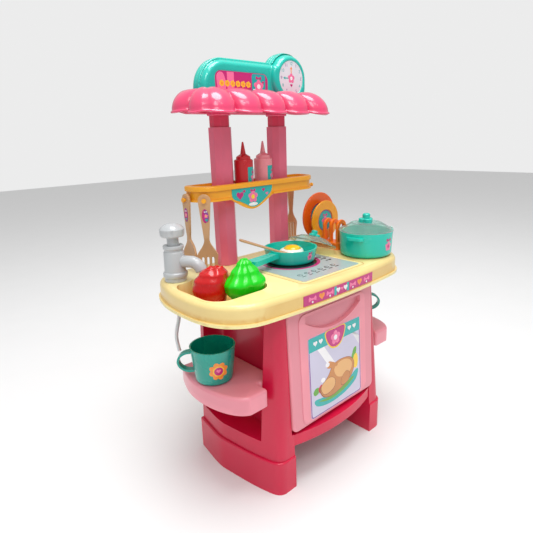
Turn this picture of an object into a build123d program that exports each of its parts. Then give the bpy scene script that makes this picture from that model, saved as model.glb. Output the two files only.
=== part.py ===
"""Compact toy kitchen: sink with pump tap, hob, oven, upper shelf and canopy, with its play pieces.

Frame: millimetres, +Z up, origin on the floor under the middle of the footprint,
-Y is the oven side and +X is on the right of a child who faces the oven.
"""
import os
from math import atan2, cos, pi, radians, sin, tan

from build123d import *

os.makedirs("parts", exist_ok=True)

# ---------------------------------------------------------------- driving dimensions
WALL = 3.0
GAP = 0.4

# worktop
TOP_Z = 330.0
TOP_UNDER = 299.0
TOP_HALF_X = 219.0
TOP_HALF_Y = 119.0
TOP_EDGE_R = 9.0
SKIRT_STEP = 3.0

# sink
SINK_LEFT, SINK_RIGHT = -203.0, -94.0
SINK_FRONT, SINK_BACK = -66.0, 52.0
SINK_FLOOR = 304.0

# side panels
PANEL_INNER_X = 99.0
FOOT_HEIGHT = 58.0
NICHE_FLOOR = 85.0

# oven front, which leans back
LEAN = 3.0
DOOR_FOOT_Y, DOOR_FOOT_Z = -100.6, 98.0
DOOR_HALF_X = 103.0
DOOR_HEIGHT = 198.0
DOOR_THICK = 9.0
PIN_UP, PIN_OUT, PIN_R = 6.5, 0.5, 2.0
OVEN_HALF_X = 82.0

# side shelves
SHELF_Z, SHELF_TOP = 158.0, 186.0
LEDGE_H = 6.0
NICHE_INNER_X, NICHE_OUTER_X = 103.0, 167.0
NICHE_FRONT, NICHE_BACK = -71.0, 69.0
NICHE_R = 14.0

# worktop pegs in the side panels
WORKTOP_PEG_R = 3.8
PEG_DEPTH = 9.0
worktop_peg_places = [(side * 118.0, y) for side in (-1, 1) for y in (-78.0, 74.5)]

# tap
TAP_X, TAP_Y = -180.0, 70.0
TAP_TRAVEL = 11.0
SPOUT_HEADING = -60.0

# posts
POST_X, POST_Y = 64.0, 88.0
POST_TOP = 560.0
POST_W, POST_D = 36.0, 31.0
PLUG_W, PLUG_D = 30.2, 25.2
POST_BORE_W, POST_BORE_D = 26.0, 21.0
NECK_W, NECK_D = 31.0, 27.0
NECK_BORE_W, NECK_BORE_D = 19.0, 14.0

# upper shelf
TRAY_HALF_X = 134.0
TRAY_FRONT, TRAY_BACK = 49.0, 108.0
TRAY_UNDER, TRAY_TOP = 446.5, 471.0
TRAY_RIM = 8.0
TRAY_FRONT_R, TRAY_BACK_R = 34.0, 14.0

# canopy
LOBE_PITCH = 53.0
CANOPY_FRONT, CANOPY_BACK = 24.0, 117.0
CANOPY_Z, CANOPY_TOP = 577.0, 617.0

# sign and clock
SIGN_LEFT = -101.0
SIGN_FRONT, SIGN_BACK = 79.0, 105.0
SIGN_Z, SIGN_TOP = 600.0, 666.0
CLOCK_X, CLOCK_Z, CLOCK_R = 87.5, 641.0, 43.5
CLOCK_FRONT = 70.0
SIGN_LABEL_X, SIGN_LABEL_W, SIGN_LABEL_H = -18.0, 113.0, 38.0
DIAL_R = 29.0

# cookware
PAN_X, PAN_Y, PAN_R, PAN_H = 21.0, 15.0, 47.0, 24.6
POT_X, POT_Y, POT_R, POT_H = 148.2, -53.6, 48.0, 44.0
COOK_Z = TOP_Z + 1.2

# dish rack
RACK_X = 146.0
RACK_FRONT, RACK_BACK = -3.0, 71.0
RACK_PITCH = 16.0

STICKER = 0.6


def save(part, name):
    """Label a finished piece and write it to its own STEP file."""
    part.label = name
    export_step(part, f"parts/{name}.step")


def mirrored(part):
    """The opposite-hand copy of a piece, across the middle plane."""
    return mirror(part, about=Plane.YZ)


# ---------------------------------------------------------------- side panels
def panel_outline(outer, front, back, nose):
    """Plan of a right-hand side panel, straight inside and bulging outside."""
    with BuildSketch() as sketch:
        with BuildLine():
            Line((PANEL_INNER_X, back), (PANEL_INNER_X, front))
            Line((PANEL_INNER_X, front), (nose - 6, front))
            Spline(
                (nose - 6, front), (nose + 14, front + 19), (outer, -4), (outer - 8, back),
                tangents=[(1, 0), (-0.18, 1)],
            )
            Line((outer - 8, back), (PANEL_INNER_X, back))
        make_face()
    return sketch.sketch


door_plane = Plane(
    origin=(0, DOOR_FOOT_Y, DOOR_FOOT_Z),
    x_dir=(1, 0, 0),
    z_dir=(0, -cos(radians(LEAN)), sin(radians(LEAN))),
)


def pin_centre():
    """Middle of the door's hinge line."""
    return door_plane.from_local_coords(Vector(0, PIN_UP, PIN_OUT))


brace_screw_spots = [(64, 76), (64, 96)]


def side_panel():
    """Right side panel: a proud foot, a leaning shell above it and an open niche."""
    with BuildPart() as panel:
        with BuildSketch(Plane.XY):
            add(panel_outline(155, -108.5, 84, 125))
        extrude(amount=FOOT_HEIGHT)
        fillet(panel.faces().sort_by(Axis.Z)[-1].edges().sort_by(Axis.X)[-1], 2.5)
        with BuildSketch(Plane.XY.offset(FOOT_HEIGHT - 4)):
            add(panel_outline(151, -106.5, 82, 122))
        with BuildSketch(Plane.XY.offset(TOP_UNDER - GAP)):
            add(panel_outline(141, -96, 80, 106))
        loft()
        # the niche that the mug shelf stands in, open outwards and closed on the oven side
        with BuildSketch(Plane.XY.offset(NICHE_FLOOR)):
            with Locations(((NICHE_INNER_X + NICHE_OUTER_X) / 2, (NICHE_FRONT + NICHE_BACK) / 2)):
                RectangleRounded(NICHE_OUTER_X - NICHE_INNER_X, NICHE_BACK - NICHE_FRONT, NICHE_R)
        extrude(amount=TOP_UNDER - NICHE_FLOOR + 5, mode=Mode.SUBTRACT)
        # ledges that carry the mug shelf
        with BuildSketch(Plane.XY.offset(SHELF_Z - LEDGE_H)):
            with Locations((NICHE_INNER_X + 11, NICHE_FRONT + 4), (NICHE_INNER_X + 11, NICHE_BACK - 4)):
                Rectangle(24, 10)
        extrude(amount=LEDGE_H)
        # holes for the worktop's pegs and the brace's screws
        with BuildSketch(Plane.XY.offset(TOP_UNDER - PEG_DEPTH - 1)):
            with Locations(*[place for place in worktop_peg_places if place[0] > 0]):
                Circle(WORKTOP_PEG_R + GAP)
        extrude(amount=PEG_DEPTH + 5, mode=Mode.SUBTRACT)
        with BuildSketch(Plane.YZ.offset(PANEL_INNER_X - 1)):
            with Locations(*brace_screw_spots):
                Circle(1.7)
        extrude(amount=4, mode=Mode.SUBTRACT)
        # hollow foot, open underneath
        with BuildSketch(Plane.XY):
            add(panel_outline(151, -104.5, 80, 121))
            with Locations((PANEL_INNER_X, 0)):
                Rectangle(2 * WALL, 300, mode=Mode.SUBTRACT)
        extrude(amount=NICHE_FLOOR - WALL, taper=1.5, mode=Mode.SUBTRACT)
        # rebate for the door, with room for its lower edge to turn
        with BuildSketch(door_plane.offset(-0.7)):
            with Locations((0, DOOR_HEIGHT / 2 + 50 - 3.2)):
                Rectangle(2 * DOOR_HALF_X + 1.2, DOOR_HEIGHT + 100)
        extrude(amount=30, mode=Mode.SUBTRACT)
        with BuildSketch(door_plane.offset(-8.5)):
            with Locations((0, 5)):
                Rectangle(2 * DOOR_HALF_X + 1.2, 17)
        extrude(amount=12, mode=Mode.SUBTRACT)
        # hinge hole
        with BuildSketch(Plane.YZ.offset(DOOR_HALF_X)):
            with Locations((pin_centre().Y, pin_centre().Z)):
                Circle(PIN_R + 0.08)
        extrude(amount=6, mode=Mode.SUBTRACT)
    return panel.part


right_side_panel = side_panel()
save(right_side_panel, "right_side_panel")
save(mirrored(right_side_panel), "left_side_panel")

# ---------------------------------------------------------------- front frame and rail
FRAME_TOP = TOP_UNDER - GAP
with BuildPart() as front_frame:
    with BuildSketch(door_plane.offset(-0.7)):
        with Locations((0, 99)):
            Rectangle(2 * PANEL_INNER_X - 2 * GAP, 208)
        with Locations((0, 100)):
            Rectangle(2 * OVEN_HALF_X, 184, mode=Mode.SUBTRACT)
        with Locations((0, 5)):
            Rectangle(2 * PANEL_INNER_X, 20, mode=Mode.SUBTRACT)
    extrude(amount=-6)
    with BuildSketch(door_plane.offset(-9)):
        with Locations((0, -12)):
            Rectangle(2 * PANEL_INNER_X - 2 * GAP, 18)
        with Locations((-90.3, 6), (90.3, 6)):
            Rectangle(16.6, 26)
    extrude(amount=-4)
    with BuildSketch(door_plane.offset(-5)):
        with Locations((-90.3, 18), (90.3, 18)):
            Rectangle(16.6, 6)
    extrude(amount=-8)
    with BuildSketch(Plane.XY.offset(71)):
        with BuildLine():
            ThreePointArc((-PANEL_INNER_X + GAP, -104), (0, -118.6), (PANEL_INNER_X - GAP, -104))
            Line((PANEL_INNER_X - GAP, -104), (PANEL_INNER_X - GAP, -86))
            Line((PANEL_INNER_X - GAP, -86), (-PANEL_INNER_X + GAP, -86))
            Line((-PANEL_INNER_X + GAP, -86), (-PANEL_INNER_X + GAP, -104))
        make_face()
    extrude(amount=DOOR_FOOT_Z - 5.0 - 71)
    rail_edges = front_frame.edges().filter_by(GeomType.CIRCLE).sort_by(Axis.Z)
    fillet(rail_edges[0], 4)
    split(bisect_by=Plane.XY.offset(FRAME_TOP), keep=Keep.BOTTOM)
save(front_frame.part, "front_frame")

# ---------------------------------------------------------------- oven cavity
with BuildPart() as oven_cavity:
    with BuildSketch(Plane.XY.offset(104)):
        with Locations((0, -15.5)):
            Rectangle(2 * OVEN_HALF_X - 2, 141)
    extrude(amount=184)
    fillet(oven_cavity.edges().filter_by(Axis.Y), 8)
    offset(amount=-WALL, openings=oven_cavity.faces().sort_by(Axis.Y)[0])
save(oven_cavity.part, "oven_cavity")

# ---------------------------------------------------------------- rear brace
with BuildPart() as rear_brace:
    with BuildSketch(Plane.XZ.offset(-70)):
        with Locations((0, 86)):
            Rectangle(2 * PANEL_INNER_X - 2 * GAP, 40)
            Rectangle(150, 14, mode=Mode.SUBTRACT)
    extrude(amount=-5)
    with BuildSketch(Plane.YZ.offset(PANEL_INNER_X - GAP)):
        with Locations((67, 86)):
            Rectangle(16, 40)
    extrude(amount=-4)
    with BuildSketch(Plane.YZ.offset(-PANEL_INNER_X + GAP)):
        with Locations((67, 86)):
            Rectangle(16, 40)
    extrude(amount=4)
    with BuildSketch(Plane.YZ.offset(-120)):
        with Locations(*brace_screw_spots):
            Circle(1.9)
    extrude(amount=240, mode=Mode.SUBTRACT)
save(rear_brace.part, "rear_brace")


def screw(radius=1.8, length=12.0, head=3.4):
    """A pan-head screw that points along +Z with its head under the origin."""
    with BuildPart() as one:
        Cylinder(radius, length, align=(Align.CENTER, Align.CENTER, Align.MIN))
        with Locations((0, 0, 0)):
            Cylinder(head, 2.2, align=(Align.CENTER, Align.CENTER, Align.MAX))
        fillet(one.faces().sort_by(Axis.Z)[0].edges(), 1.0)
        with BuildSketch(Plane.XY.offset(-2.2)):
            Rectangle(3.6, 0.9)
            Rectangle(0.9, 3.6)
        extrude(amount=1.0, mode=Mode.SUBTRACT)
    return one.part


def screw_group(places, name, **sizes):
    """One node of identical screws, each at a plane whose Z is the way that it is driven."""
    pieces = [place * screw(**sizes) for place in places]
    save(Compound(children=pieces), name)


brace_screw_places = [
    Plane(origin=(side * (PANEL_INNER_X - GAP - 4.05), y, z), z_dir=(side, 0, 0))
    for side in (-1, 1)
    for y, z in brace_screw_spots
]
screw_group(brace_screw_places, "brace_screws", radius=1.6, length=6.0, head=3.2)


# ---------------------------------------------------------------- side shelves
def side_shelf():
    """Right mug shelf: a bowed tray that plugs into the niche of its side panel."""
    with BuildPart() as shelf:
        with BuildSketch(Plane.XY.offset(SHELF_Z)):
            with BuildLine():
                Line((116, -64), (116, 62))
                Line((116, 62), (186, 66))
                Spline(
                    (186, 66), (202, 20), (203, -30), (191, -71), (172, -91),
                    tangents=[(0.45, -1), (-1, -0.55)],
                )
                Line((172, -91), (137, -91))
                Line((137, -91), (138, -69))
                Line((138, -69), (116, -64))
            make_face()
            with Locations((NICHE_INNER_X + GAP + 18, (NICHE_FRONT + NICHE_BACK) / 2)):
                RectangleRounded(36, NICHE_BACK - NICHE_FRONT - 2 * GAP, NICHE_R - GAP)
        extrude(amount=SHELF_TOP - SHELF_Z)
        fillet(shelf.edges().filter_by(Axis.Z).sort_by(Axis.Y)[0:2], 5)
        fillet(shelf.faces().sort_by(Axis.Z)[-1].edges().filter_by(lambda e: e.center().X > 125), 5)
        with BuildSketch(Plane.XY.offset(SHELF_Z)):
            with Locations((150, -8)):
                RectangleRounded(72, 104, 20)
        extrude(amount=SHELF_TOP - SHELF_Z - 4, mode=Mode.SUBTRACT)
    return shelf.part


right_side_shelf = side_shelf()
save(right_side_shelf, "right_side_shelf")
save(mirrored(right_side_shelf), "left_side_shelf")


# ---------------------------------------------------------------- worktop
def worktop_outline(inset):
    """Plan of the worktop: bowed front, elliptical ends and a straight back."""
    half_x = TOP_HALF_X - inset
    half_y = TOP_HALF_Y - inset
    with BuildSketch() as sketch:
        with BuildLine():
            ThreePointArc((0, -half_y), (78, -half_y + 2), (150, -half_y + 8))
            Spline(
                (150, -half_y + 8), (half_x - 22, -half_y + 32), (half_x, -5),
                tangents=[(1, 0.11), (0, 1)],
            )
            Spline(
                (half_x, -5), (half_x - 12, 78 - inset), (158, half_y),
                tangents=[(0, 1), (-1, 0)],
            )
            Line((158, half_y), (0, half_y))
            mirror(about=Plane.YZ)
        make_face()
    return sketch.sketch


def sink_outline(inset):
    """Plan of the basin, cut back in a round bay behind which the tap stands."""
    with BuildSketch() as sketch:
        with Locations(((SINK_LEFT + SINK_RIGHT) / 2, (SINK_FRONT + SINK_BACK) / 2)):
            RectangleRounded(
                SINK_RIGHT - SINK_LEFT - 2 * inset, SINK_BACK - SINK_FRONT - 2 * inset, 30 - inset
            )
        with Locations((TAP_X, TAP_Y)):
            Circle(25 + inset, mode=Mode.SUBTRACT)
    return sketch.sketch


HOB_X0, HOB_X1, HOB_Y0, HOB_Y1 = -54.0, 84.0, -88.0, 61.0
HOB_CENTRE = ((HOB_X0 + HOB_X1) / 2, (HOB_Y0 + HOB_Y1) / 2)
post_places = [(-POST_X, POST_Y), (POST_X, POST_Y)]
TOP_BOSS_Z = 308.0


def post_section(width, depth):
    """Octagonal section of a post, wider than it is deep."""
    with BuildSketch() as sketch:
        Rectangle(width, depth)
        chamfer(sketch.vertices(), width * 0.24)
    return sketch.sketch


with BuildPart() as worktop:
    with BuildSketch(Plane.XY.offset(TOP_UNDER)):
        add(worktop_outline(SKIRT_STEP))
    extrude(amount=TOP_Z - TOP_UNDER)
    fillet(worktop.faces().sort_by(Axis.Z)[-1].edges(), TOP_EDGE_R)
    with BuildSketch(Plane.XY.offset(TOP_UNDER)):
        add(worktop_outline(0))
    extrude(amount=4.5)
    with BuildSketch(Plane.XY.offset(TOP_UNDER)):
        add(worktop_outline(SKIRT_STEP + WALL))
    extrude(amount=TOP_Z - TOP_UNDER - 10, mode=Mode.SUBTRACT)
    with BuildSketch(Plane.XY.offset(TOP_UNDER)):
        add(worktop_outline(SKIRT_STEP + WALL + 8))
    extrude(amount=TOP_Z - TOP_UNDER - WALL, mode=Mode.SUBTRACT)
    # basin walls and floor
    with BuildSketch(Plane.XY.offset(SINK_FLOOR - WALL)):
        add(sink_outline(-WALL))
    extrude(amount=TOP_Z - SINK_FLOOR + WALL)
    with BuildSketch(Plane.XY.offset(SINK_FLOOR)):
        add(sink_outline(0))
    extrude(amount=TOP_Z, taper=-1, mode=Mode.SUBTRACT)
    # tap shank hole
    with BuildSketch(Plane.XY.offset(TOP_UNDER)):
        with Locations((TAP_X, TAP_Y)):
            Circle(7.2)
    extrude(amount=40, mode=Mode.SUBTRACT)
    # post sockets under the plate
    with BuildSketch(Plane.XY.offset(TOP_BOSS_Z)):
        with Locations(*post_places):
            add(post_section(POST_W + 4, POST_D + 4))
    extrude(amount=TOP_Z - TOP_BOSS_Z)
    with BuildSketch(Plane.XY.offset(TOP_BOSS_Z + WALL)):
        with Locations(*post_places):
            add(post_section(PLUG_W + 2 * GAP, PLUG_D + 2 * GAP))
    extrude(amount=TOP_Z, mode=Mode.SUBTRACT)
    # pegs that locate in the side panels
    with BuildSketch(Plane.XY.offset(TOP_UNDER - PEG_DEPTH)):
        with Locations(*worktop_peg_places):
            Circle(WORKTOP_PEG_R)
    extrude(amount=TOP_Z - TOP_UNDER + PEG_DEPTH - 2)
    # groove round the hob
    with BuildSketch(Plane.XY.offset(TOP_Z - 1.0)):
        with Locations(HOB_CENTRE):
            RectangleRounded(HOB_X1 - HOB_X0 + 19, HOB_Y1 - HOB_Y0 + 15, 12)
            RectangleRounded(HOB_X1 - HOB_X0 + 15.4, HOB_Y1 - HOB_Y0 + 11.4, 10, mode=Mode.SUBTRACT)
        with Locations(*post_places):
            Rectangle(60, 50, mode=Mode.SUBTRACT)
    extrude(amount=2, mode=Mode.SUBTRACT)
save(worktop.part, "worktop")

with BuildPart() as hob_sticker:
    with BuildSketch(Plane.XY.offset(TOP_Z)):
        with Locations(HOB_CENTRE):
            RectangleRounded(HOB_X1 - HOB_X0, HOB_Y1 - HOB_Y0, 5)
    extrude(amount=STICKER)
save(hob_sticker.part, "hob_sticker")

with BuildPart() as front_sticker:
    with BuildSketch(Plane.XY.offset(305)):
        add(worktop_outline(SKIRT_STEP - STICKER))
        add(worktop_outline(SKIRT_STEP), mode=Mode.SUBTRACT)
        with Locations((0, -TOP_HALF_Y)):
            Rectangle(168, 40, mode=Mode.INTERSECT)
    extrude(amount=15.8)
save(front_sticker.part, "front_sticker")


# ---------------------------------------------------------------- oven door
LABEL_HALF_X, LABEL_LOW, LABEL_HIGH = 65.0, 8.0, 146.0


outward = Axis(door_plane.origin, door_plane.z_dir)

with BuildPart() as oven_door:
    with BuildSketch(door_plane):
        with Locations((0, DOOR_HEIGHT / 2)):
            RectangleRounded(2 * DOOR_HALF_X, DOOR_HEIGHT, 10)
    extrude(amount=DOOR_THICK)
    fillet(oven_door.faces().sort_by(outward)[-1].edges(), 3.5)
    # raised panel and the hand scoop over it
    with BuildSketch(door_plane.offset(DOOR_THICK - 1)):
        with Locations((0, 96)):
            RectangleRounded(164, 184, 14)
    extrude(amount=2.4)
    fillet(oven_door.faces().sort_by(outward)[-1].edges(), 1.3)
    with BuildSketch(door_plane.offset(DOOR_THICK + 2)):
        with BuildLine():
            ThreePointArc((-68, 172), (0, 150), (68, 172))
            Line((68, 172), (68, 183))
            Line((68, 183), (-68, 183))
            Line((-68, 183), (-68, 172))
        make_face()
    extrude(amount=-7, taper=12, mode=Mode.SUBTRACT)
    # hollow back
    with BuildSketch(door_plane):
        with Locations((0, 76)):
            RectangleRounded(2 * DOOR_HALF_X - 16, 132, 6)
    extrude(amount=DOOR_THICK - 3, mode=Mode.SUBTRACT)
    # hinge pins
    with BuildSketch(Plane.YZ.offset(-DOOR_HALF_X - 4.5)):
        with Locations((pin_centre().Y, pin_centre().Z)):
            Circle(PIN_R)
    extrude(amount=12)
    with BuildSketch(Plane.YZ.offset(DOOR_HALF_X + 4.5)):
        with Locations((pin_centre().Y, pin_centre().Z)):
            Circle(PIN_R)
    extrude(amount=-12)
save(oven_door.part, "oven_door")

with BuildPart() as door_sticker:
    with BuildSketch(door_plane.offset(DOOR_THICK + 1.4)):
        with Locations((0, (LABEL_LOW + LABEL_HIGH) / 2)):
            RectangleRounded(2 * LABEL_HALF_X, LABEL_HIGH - LABEL_LOW, 5)
    extrude(amount=STICKER)
save(door_sticker.part, "door_sticker")

# ---------------------------------------------------------------- tap
tap_plane = Plane(origin=(TAP_X, TAP_Y, TOP_Z))
SPOUT_Z = 27.0
COLLAR_TOP = 57.0

with BuildPart() as tap_body:
    with BuildSketch(Plane(origin=(TAP_X, TAP_Y, TOP_Z), x_dir=(1, 0, 0), z_dir=(0, -1, 0))):
        with BuildLine():
            Polyline(
                (6.0, -26), (7.0, -26), (7.0, 0), (16.6, 0), (16.6, 6.5), (19, 7.5), (19, 14),
                (16.8, 15.5), (15.6, 47), (14.2, 48), (14.2, 51), (16, 52), (16, COLLAR_TOP),
                (9.7, COLLAR_TOP), (9.7, 52), (12.0, 52), (12.0, 4), (6.0, 4), (6.0, -26),
            )
        make_face()
    revolve(axis=Axis((TAP_X, TAP_Y, 0), (0, 0, 1)))
    spout_side = Plane(
        origin=(TAP_X, TAP_Y, TOP_Z),
        x_dir=(cos(radians(SPOUT_HEADING)), sin(radians(SPOUT_HEADING)), 0),
        z_dir=(-sin(radians(SPOUT_HEADING)), cos(radians(SPOUT_HEADING)), 0),
    )
    with BuildLine(spout_side) as spout_path:
        spout_run = Line((13.2, -SPOUT_Z), (20, -SPOUT_Z))
        RadiusArc((20, -SPOUT_Z), (40.8, -SPOUT_Z + 12), 24)
    with BuildSketch(Plane(origin=spout_run @ 0, z_dir=spout_run % 0)):
        Circle(10.2)
        Circle(7.6, mode=Mode.SUBTRACT)
    sweep()
save(tap_body.part, "tap_body")

with BuildPart() as tap_knob:
    with BuildSketch(Plane(origin=(TAP_X, TAP_Y, TOP_Z), x_dir=(1, 0, 0), z_dir=(0, -1, 0))):
        with BuildLine():
            Polyline((0, 30), (9.0, 30), (9.0, 71), (17.6, 71), (18.6, 73), (19.2, 82))
            ThreePointArc((19.2, 82), (11.5, 89), (0, 91))
            Line((0, 91), (0, 30))
        make_face()
    revolve(axis=Axis((TAP_X, TAP_Y, 0), (0, 0, 1)))
    with BuildSketch(Plane.XY.offset(TOP_Z + 60)):
        with Locations((TAP_X, TAP_Y)):
            with PolarLocations(21.6, 6):
                Circle(3.2)
    extrude(amount=22, mode=Mode.SUBTRACT)
    # groove for the seal
    with BuildSketch(Plane(origin=(TAP_X, TAP_Y, TOP_Z), x_dir=(1, 0, 0), z_dir=(0, -1, 0))):
        with Locations((9.0, 34)):
            Rectangle(3.0, 4.2)
    revolve(axis=Axis((TAP_X, TAP_Y, 0), (0, 0, 1)), mode=Mode.SUBTRACT)
save(tap_knob.part, "tap_knob")

with BuildPart() as piston_seal:
    with BuildSketch(Plane(origin=(TAP_X, TAP_Y, TOP_Z), x_dir=(1, 0, 0), z_dir=(0, -1, 0))):
        with Locations((9.6, 34)):
            RectangleRounded(4.0, 4.0, 1.4)
    revolve(axis=Axis((TAP_X, TAP_Y, 0), (0, 0, 1)))
save(piston_seal.part, "piston_seal")

SPRING_LOW, SPRING_HIGH = TOP_Z + 4.2, TOP_Z + 29.8
with BuildPart() as pump_spring:
    spring_path = Helix(
        pitch=4.2, height=SPRING_HIGH - SPRING_LOW - 1.4, radius=7.0,
        center=(TAP_X, TAP_Y, SPRING_LOW + 0.7),
    )
    with BuildSketch(Plane(origin=spring_path @ 0, z_dir=spring_path % 0)):
        Circle(0.6)
    sweep(path=spring_path, is_frenet=True)
save(pump_spring.part, "pump_spring")

with BuildPart() as tap_nut:
    with BuildSketch(Plane.XY.offset(TOP_Z - WALL - 7.4)):
        with Locations((TAP_X, TAP_Y)):
            RegularPolygon(11.2, 6)
            Circle(7.05, mode=Mode.SUBTRACT)
    extrude(amount=7)
save(tap_nut.part, "tap_nut")

HOSE_START_Z = 288.0
HOSE_D = 6.0
with BuildPart() as hose_spigot:
    with BuildSketch(Plane.XY.offset(TOP_Z - 26)):
        with Locations((TAP_X, TAP_Y)):
            Circle(5.95)
    extrude(amount=20)
    with BuildSketch(Plane.XY.offset(HOSE_START_Z)):
        with Locations((TAP_X, TAP_Y)):
            Circle(7.4)
    extrude(amount=TOP_Z - 26 - HOSE_START_Z, taper=0)
    fillet(hose_spigot.faces().sort_by(Axis.Z)[0].edges(), 2.5)
    with BuildSketch(Plane.XY.offset(HOSE_START_Z + 6)):
        with Locations((TAP_X, TAP_Y)):
            Circle(1.6)
    extrude(amount=60, mode=Mode.SUBTRACT)
save(hose_spigot.part, "hose_spigot")

# ---------------------------------------------------------------- inlet hose, which hangs free
HOSE_POINTS = [
    (TAP_X, TAP_Y, HOSE_START_Z),
    (TAP_X, TAP_Y, 269),
    (TAP_X - 4.5, TAP_Y + 3.5, 249),
    (TAP_X - 7, TAP_Y + 6.5, 228),
    (TAP_X - 4, TAP_Y + 3, 208),
]


def cord_radii(points):
    """The largest arc that each corner's shorter run allows."""
    radii = []
    for before, here, after in zip(points, points[1:], points[2:]):
        run_in = Vector(*here) - Vector(*before)
        run_out = Vector(*after) - Vector(*here)
        half_turn = radians(run_in.get_angle(run_out)) / 2
        radii.append(0.45 * min(run_in.length, run_out.length) / tan(half_turn))
    return radii


hose_radii = cord_radii(HOSE_POINTS)
print("hose radii", [round(radius, 1) for radius in hose_radii])
with BuildPart() as inlet_hose:
    with BuildLine() as hose_path:
        FilletPolyline(*HOSE_POINTS, radius=hose_radii)
    with BuildSketch(Plane(origin=HOSE_POINTS[0], z_dir=(0, 0, -1))):
        Circle(HOSE_D / 2)
    sweep()
hose_length = sum(edge.length for edge in hose_path.line.edges())
hose_section = pi * HOSE_D ** 2 / 4
print("hose length", hose_length, "volume ratio", inlet_hose.part.volume / (hose_section * hose_length))
save(inlet_hose.part, "inlet_hose")


# ---------------------------------------------------------------- posts
def post(x):
    """Tubular octagonal post from its worktop socket to the step under the canopy neck."""
    with BuildPart() as tube:
        with BuildSketch(Plane.XY.offset(TOP_BOSS_Z + WALL + GAP)):
            with Locations((x, POST_Y)):
                add(post_section(PLUG_W, PLUG_D))
        extrude(amount=TOP_Z + 0.4 - TOP_BOSS_Z - WALL - GAP)
        with BuildSketch(Plane.XY.offset(TOP_Z + GAP)):
            with Locations((x, POST_Y)):
                add(post_section(POST_W, POST_D))
        extrude(amount=POST_TOP - TOP_Z - GAP)
        with BuildSketch(Plane.XY.offset(TOP_BOSS_Z)):
            with Locations((x, POST_Y)):
                add(post_section(POST_BORE_W, POST_BORE_D))
        extrude(amount=POST_TOP, mode=Mode.SUBTRACT)
    return tube.part


def neck(x):
    """Neck that plugs into the top of a post and into the canopy's socket."""
    with BuildPart() as tube:
        with BuildSketch(Plane.XY.offset(POST_TOP - 25)):
            with Locations((x, POST_Y)):
                add(post_section(POST_BORE_W - 2 * GAP, POST_BORE_D - 2 * GAP))
        extrude(amount=25.4)
        with BuildSketch(Plane.XY.offset(POST_TOP + GAP)):
            with Locations((x, POST_Y)):
                add(post_section(NECK_W, NECK_D))
        extrude(amount=30)
        with BuildSketch(Plane.XY.offset(POST_TOP - 26)):
            with Locations((x, POST_Y)):
                add(post_section(NECK_BORE_W, NECK_BORE_D))
        extrude(amount=80, mode=Mode.SUBTRACT)
    return tube.part


for name, x in (("left", -POST_X), ("right", POST_X)):
    save(post(x), f"{name}_post")
    save(neck(x), f"{name}_neck")

# ---------------------------------------------------------------- upper shelf
PEG_Z = 450.0
PEG_R = 2.6
corner_reach = TRAY_FRONT_R * (1 - cos(radians(45)))
peg_spots = {
    "left_end": ((-TRAY_HALF_X, 90.0), 180.0),
    "left_front": ((corner_reach - TRAY_HALF_X, TRAY_FRONT + corner_reach), 225.0),
    "right_end": ((TRAY_HALF_X - 1.0, 74.0), 0.0),
    "right_back": ((121.0, TRAY_BACK), 90.0),
}
hang_angles = {"left_front": 5.0}
TAB_X, TAB_HALF, TAB_DROP = -30.0, 46.0, 426.0
TAB_SHOULDER = 438.0


def peg_plane(spot):
    """Plane at a peg's root that faces out along the peg, with its Y up."""
    (x, y), heading = peg_spots[spot]
    out = Vector(cos(radians(heading)), sin(radians(heading)), 0)
    across = Vector(-out.Y, out.X, 0)
    plane = Plane(origin=(x, y, PEG_Z), x_dir=across, z_dir=out)
    return plane.rotated((0, 0, hang_angles.get(spot, 0.0)))


def tray_outline(inset):
    """Plan of the upper shelf."""
    with BuildSketch() as sketch:
        with Locations((0, (TRAY_FRONT + TRAY_BACK) / 2)):
            Rectangle(2 * TRAY_HALF_X - 2 * inset, TRAY_BACK - TRAY_FRONT - 2 * inset)
        fillet(sketch.vertices().sort_by(Axis.Y)[:2], TRAY_FRONT_R - inset)
        fillet(sketch.vertices().sort_by(Axis.Y)[-2:], TRAY_BACK_R - inset)
    return sketch.sketch


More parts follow.
